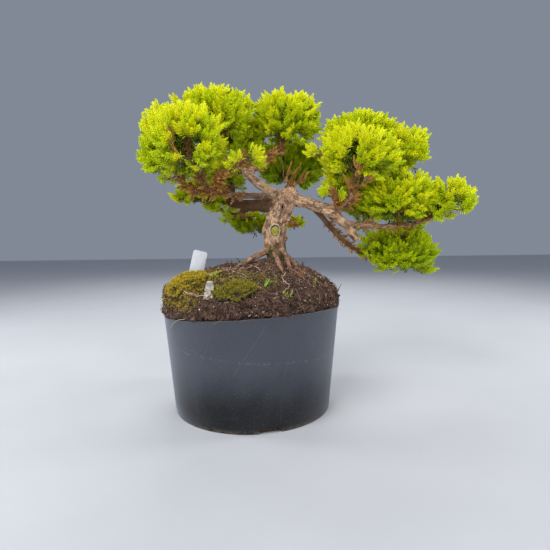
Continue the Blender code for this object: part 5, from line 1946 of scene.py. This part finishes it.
def laid(ground, places, thick, rule):
    """A route over the ground through these places, with a wandering line and a tapering radius."""
    marks = [Vector((x, y, 0)) * MM for x, y in places]
    route = []
    for number, point in enumerate(through(marks, LYING_STEPS)):
        wander = Vector((rule.uniform(-1, 1), rule.uniform(-1, 1), 0)) * LYING_WANDER
        start = point + wander + Vector((0, 0, ABOVE_GROUND))
        place, normal, _, _ = ground.ray_cast(start, -UP)
        if place is None:
            break
        hump = 0.5 + 0.9 * abs(math.sin(number * 0.7 + places[0][0]))
        route.append(place + normal * thick * MM * hump)
    share_left = [1.0 - 0.55 * n / max(1, len(route) - 1) for n in range(len(route))]
    return route, [thick * MM * part for part in share_left]


def thin_root(number, ground, rule):
    """A thin root that wanders outwards from a ring round the trunk's foot."""
    (x, y), (wide, deep) = THIN_ROOT_START
    angle = number * GOLDEN_ANGLE
    near = Vector((x + wide * math.cos(angle), y + deep * math.sin(angle), 0))
    heading = angle + rule.uniform(-0.5, 0.5)
    places = [(near.x, near.y)]
    for _ in range(rule.randint(2, 4)):
        step = rule.uniform(5, 11)
        near = near + Vector((math.cos(heading), math.sin(heading), 0)) * step
        places.append((near.x, near.y))
        heading += rule.uniform(-0.7, 0.7)
    return laid(ground, places, rule.uniform(0.25, 0.6), rule)


def make_lying(ground):
    """Pale, red and thin roots over the peat."""
    rule = random.Random(f"{SEED} lying")
    finishes = {
        "pale_roots": grained("pale_root", (0.36, 0.235, 0.14), (0.56, 0.42, 0.28), 0.8),
        "red_roots": grained("red_root", (0.20, 0.088, 0.052), (0.33, 0.17, 0.11), 0.85),
    }
    for name, routes in LYING.items():
        dress(tubes(name, [laid(ground, places, thick, rule) for places, thick in routes], 8),
              finishes[name], "bark")
    thin = [thin_root(number, ground, rule) for number in range(THIN_ROOTS)]
    dress(tubes("thin_roots", [route for route in thin if len(route[0]) > 3], 4),
          grained("thin_root", (0.15, 0.075, 0.045), (0.30, 0.18, 0.11), 0.85), "bark")


# Dead stalks that stand in the peat: feet and tips in millimetres.
STALKS = [
    ((-8, -4, 141), (-14, -7, 149)), ((-15, -1, 139), (-25, 1, 146)),
    ((-20, -3, 138), (-19, -5, 147)), ((-24, -6, 136), (-33, -8, 142)),
    ((4, 3, 141), (1, 1, 150)), ((-31, -14, 135), (-40, -16, 141)),
    ((50, 8, 136), (54, 5, 143)), ((-41, -30, 131), (-49, -33, 137)),
    ((84, -10, 112), (87, -12, 119)), ((-12, -8, 139), (-20, -12, 144)),
    ((-17, -8, 138), (-8, -12, 143)),
]
STALK_TAPER = (0.75, 0.66, 0.6, 0.5, 0.3)  # its radii from foot to tip, in millimetres
STALK_BOW = 1.2 * MM
FORKED = 0.6  # the share of stalks that fork
FORK_RADII = (0.4 * MM, 0.32 * MM, 0.2 * MM)

# Straws and hair roots that lie on the peat or hang over the rim: places and thickness.
LOOSE = [
    ([(-54, -67, 99), (-60, -63.8, 98.2), (-66, -57.4, 94), (-70, -52, 89),
      (-71.4, -49.4, 86)], 0.32),
    ([(-44, -34, 133.5), (-33, -26, 136), (-24, -20, 138.3), (-12, -24, 139)], 0.5),
    ([(-24, -21, 138), (-14, -32, 137), (-6, -40, 135.5), (4, -54, 131)], 0.42),
    ([(-50, -20, 134), (-42, -28, 134.5), (-30, -40, 134), (-22, -50, 131)], 0.4),
]

# Sprigs that fell or sprout on the peat: foot, direction, length and tone.
SPRIGS = [
    ((-38, -39, 132.5), (1.0, 0.3, 0.25), 12, "fresh"),
    ((37, -75, 117.5), (0.2, -0.5, 1.0), 5, "green"),
    ((35, -75, 118), (-0.7, -0.3, 0.7), 5, "green"),
    ((49, -32, 132.5), (-0.9, -0.3, 0.4), 10, "fallen"),
    ((46, -31, 133), (0.7, -0.6, 0.5), 8, "fallen"),
    ((60, -44, 125), (0.1, -0.2, 1.0), 4, "green"),
    ((6, -73, 123), (0.1, -0.3, 1.0), 4, "green"),
    ((0, -70, 124), (-0.3, -0.3, 0.9), 4, "green"),
]
FALLEN = (0.52, 0.20, 0.075)  # the colour of fallen needles

# Fresh blades of grass: foot, tip and width in millimetres.
BLADES = [((14.4, -65, 124.5), (20.4, -66, 134), 1.7), ((14.6, -64, 125), (17.0, -67, 133), 1.4),
          ((17.8, -60, 127.5), (24, -63, 131.5), 1.1)]
SCRAP_PLACE = (-31.5, -76.5, 117.5)
SCRAP_SIZE = (9, 16)
SCRAP_STEPS = 12
SCRAP_LEAN = 0.42
SCRAP_THICK = 0.35 * MM


BLADE_ROWS = 6
BLADE_ARCH = Vector((0, 0, 0.18))


def blade(foot, tip, width):
    """A keeled blade that is widest low down and bends towards its tip."""
    onward = mm(tip) - mm(foot)
    points = []
    for row in range(BLADE_ROWS + 1):
        at = row / BLADE_ROWS
        middle = mm(foot) + onward * at + BLADE_ARCH * onward.length * at * (1 - at)
        half = width / 2 * MM * math.sin(math.pi * min(0.98, 0.25 + 0.75 * at))
        for side, drop in ((-1, 0.0), (0, -0.5), (1, 0.0), (0, 0.1)):
            points.append(middle + Vector((side * half, drop * half, 0)))
    faces = [(4 * row + n, 4 * row + (n + 1) % 4, 4 * row + 4 + (n + 1) % 4, 4 * row + 4 + n)
             for row in range(BLADE_ROWS) for n in range(4)]
    last = 4 * BLADE_ROWS
    return object_from("blade", points, faces + [(3, 2, 1, 0), tuple(range(last, last + 4))])


def dead_stalks(rule):
    """Bowed stalks that stand in the peat, most of them forked."""
    routes = []
    for foot, tip in STALKS:
        start, end = mm(foot), mm(tip)
        bow = Vector((rule.uniform(-1, 1), rule.uniform(-1, 1), rule.uniform(-1, 1))) * STALK_BOW
        points = [start + (end - start) * at + bow * math.sin(math.pi * at) for at in QUARTERS]
        routes.append((points, [part * MM for part in STALK_TAPER]))
        if rule.random() < FORKED:
            fork = points[2]
            side = Vector((rule.uniform(-4, 4), rule.uniform(-3, 3), rule.uniform(3, 7))) * MM
            routes.append(([fork, fork + side * 0.5, fork + side], FORK_RADII))
    return tubes("dead_stalks", routes, 6)


def loose_straws():
    """Straws and a hair root, thinner towards one end."""
    routes = []
    for places, thick in LOOSE:
        shares = np.linspace(1.0, 0.45, len(places)).tolist()
        routes.append(([mm(place) for place in places], [thick * MM * part for part in shares]))
    return tubes("loose_straws", routes, 6)


def ground_sprigs(rule):
    """Sprigs with the plant's own needles, half as large."""
    tree = bpy.data.node_groups["needle_shoots"]
    needle = needle_shape()
    fallen = new_material("needles_fallen", **{"Base Color": FALLEN, "Roughness": 0.6})
    made = []
    for number, (foot, onward, length, tone) in enumerate(SPRIGS):
        shoots = grow_spray(mm(foot), Vector(onward).normalized(), length * MM, 0.5, rule)
        finish = fallen if tone == "fallen" else bpy.data.materials[f"needles_{tone}"]
        parts = [(shoot, 0.0, 1.0, SPRIG_SIZE) for shoot in shoots]
        made.append(set_needles(f"sprig_{number}", parts, tree, {
            "Needle": needle, "Material": finish, "Seed": SEED + number, **NEEDLES["older"]}))
    bpy.data.objects.remove(needle)
    return joined("ground_sprigs", made)


def papery_scrap():
    """A creased scrap that narrows upwards and leans back."""
    wide, tall = SCRAP_SIZE
    rows = []
    for row in range(SCRAP_STEPS + 1):
        for column in range(SCRAP_STEPS + 1):
            across = (column / SCRAP_STEPS - 0.5) * wide * (1 - 0.45 * row / SCRAP_STEPS)
            up = row / SCRAP_STEPS * tall
            crease = noise.noise(Vector((across * 0.35, up * 0.3, 5.0))) * 2.2
            fine = noise.noise(Vector((across * 1.1, up * 1.1, 2.0))) * 0.9
            rows.append(Vector((across + fine, crease + fine + up * SCRAP_LEAN, up * 0.92)) * MM)
    count = SCRAP_STEPS + 1
    faces = [(n, n + 1, n + count + 1, n + count) for row in range(SCRAP_STEPS)
             for n in range(row * count, row * count + SCRAP_STEPS)]
    scrap = object_from("scrap", [point + mm(SCRAP_PLACE) for point in rows], faces)
    thicken = scrap.modifiers.new("thicken", "SOLIDIFY")
    thicken.thickness = SCRAP_THICK
    scrap = evaluated(scrap, "papery_scrap")
    scrap.data.shade_smooth()
    return scrap


def make_details():
    """Dead stalks, straws, sprigs, blades of grass and a papery scrap on the peat."""
    rule = random.Random(f"{SEED} details")
    dress(dead_stalks(rule),
          grained("dead_stalk", (0.10, 0.055, 0.035), (0.21, 0.13, 0.085), 0.9), "bark")
    dress(loose_straws(),
          grained("loose_straw", (0.42, 0.30, 0.17), (0.60, 0.46, 0.30), 0.8), "bark")
    dress(ground_sprigs(rule), None, "foliage")
    dress(joined("grass_blades", [blade(*row) for row in BLADES]),
          grained("grass", (0.20, 0.46, 0.03), (0.30, 0.60, 0.05), 0.5, 500.0), "foliage")
    dress(papery_scrap(),
          grained("papery", (0.34, 0.30, 0.25), (0.60, 0.56, 0.50), 0.9, 400.0), "soil")


# ---- stage

def floor_finish():
    """A pale matt floor, a little uneven in tone."""
    def build(graph, place):
        wide = graph.noise(place, 9.0, 4.0, 0.6)
        return {"Base Color": graph.mix(wide, (0.50, 0.51, 0.53), (0.57, 0.58, 0.60)),
                "Roughness": 0.6 + wide * 0.15}
    return new_material("pale_floor", build)


# Soft lights: place, width, height and power.
LIGHTS = {
    "key": ((-0.50, -0.80, 1.05), 0.8, 0.8, 13.5),
    "fill": ((0.80, -0.90, 0.60), 0.9, 0.9, 4.5),
    "back": ((0.10, 0.90, 1.00), 0.9, 0.9, 7.0),
    "left_strip": ((-0.85, 0.12, 0.56), 0.25, 0.7, 3.6),
    "right_strip": ((0.90, 0.12, 0.56), 0.25, 0.7, 3.6),
}
LIGHTS_AIM = (0.02, 0.0, 0.17)
SKY = (0.22, 0.25, 0.31, 1.0)
FLOOR_REACH = 3.0


def aimed(name, data, place, turn):
    """A lamp or camera at a place, turned by a rotation."""
    made = placed(name, data)
    made.location = place
    made.rotation_euler = turn.to_euler()
    return made


def make_stage():
    """A pale floor, soft lights round the plant, a blue-grey room and the camera."""
    scene = bpy.context.scene
    corners = [(x * FLOOR_REACH, y * FLOOR_REACH, 0)
               for x, y in ((-1, -1), (1, -1), (1, 1), (-1, 1))]
    floor = object_from("floor", corners, [(0, 1, 2, 3)])
    floor.data.materials.append(floor_finish())
    world = bpy.data.worlds.new("studio")
    world.use_nodes = True
    world.node_tree.nodes["Background"].inputs["Color"].default_value = SKY
    scene.world = world
    for name, (place, width, height, power) in LIGHTS.items():
        light = bpy.data.lights.new(name, "AREA")
        light.shape = "RECTANGLE"
        light.size = width
        light.size_y = height
        light.energy = power
        aim = Vector(LIGHTS_AIM) - Vector(place)
        aimed(name, light, place, aim.to_track_quat("-Z", "Y"))
    camera = bpy.data.cameras.new("camera")
    camera.lens = CAMERA_LENS
    camera.sensor_width = CAMERA_SENSOR
    camera.clip_start = CAMERA_CLIP
    turn = (Matrix.Rotation(math.radians(90) - CAMERA_DOWN, 4, "X")
            @ Matrix.Rotation(-CAMERA_ROLL, 4, "Z"))
    scene.camera = aimed("camera", camera, CAMERA_PLACE, turn)
    scene.view_settings.view_transform = "Standard"


make_stage()
make_wood()
make_pot()
litter = litter_tree()
root_ball = make_soil()
dress_soil(root_ball, litter)
make_lying(ground_tree())
make_moss(root_ball, litter)
root_ball.data.attributes.remove(root_ball.data.attributes["bare"])
dress(root_ball, soil_finish(), "soil", "soil")
make_label()
make_foliage()
make_details()
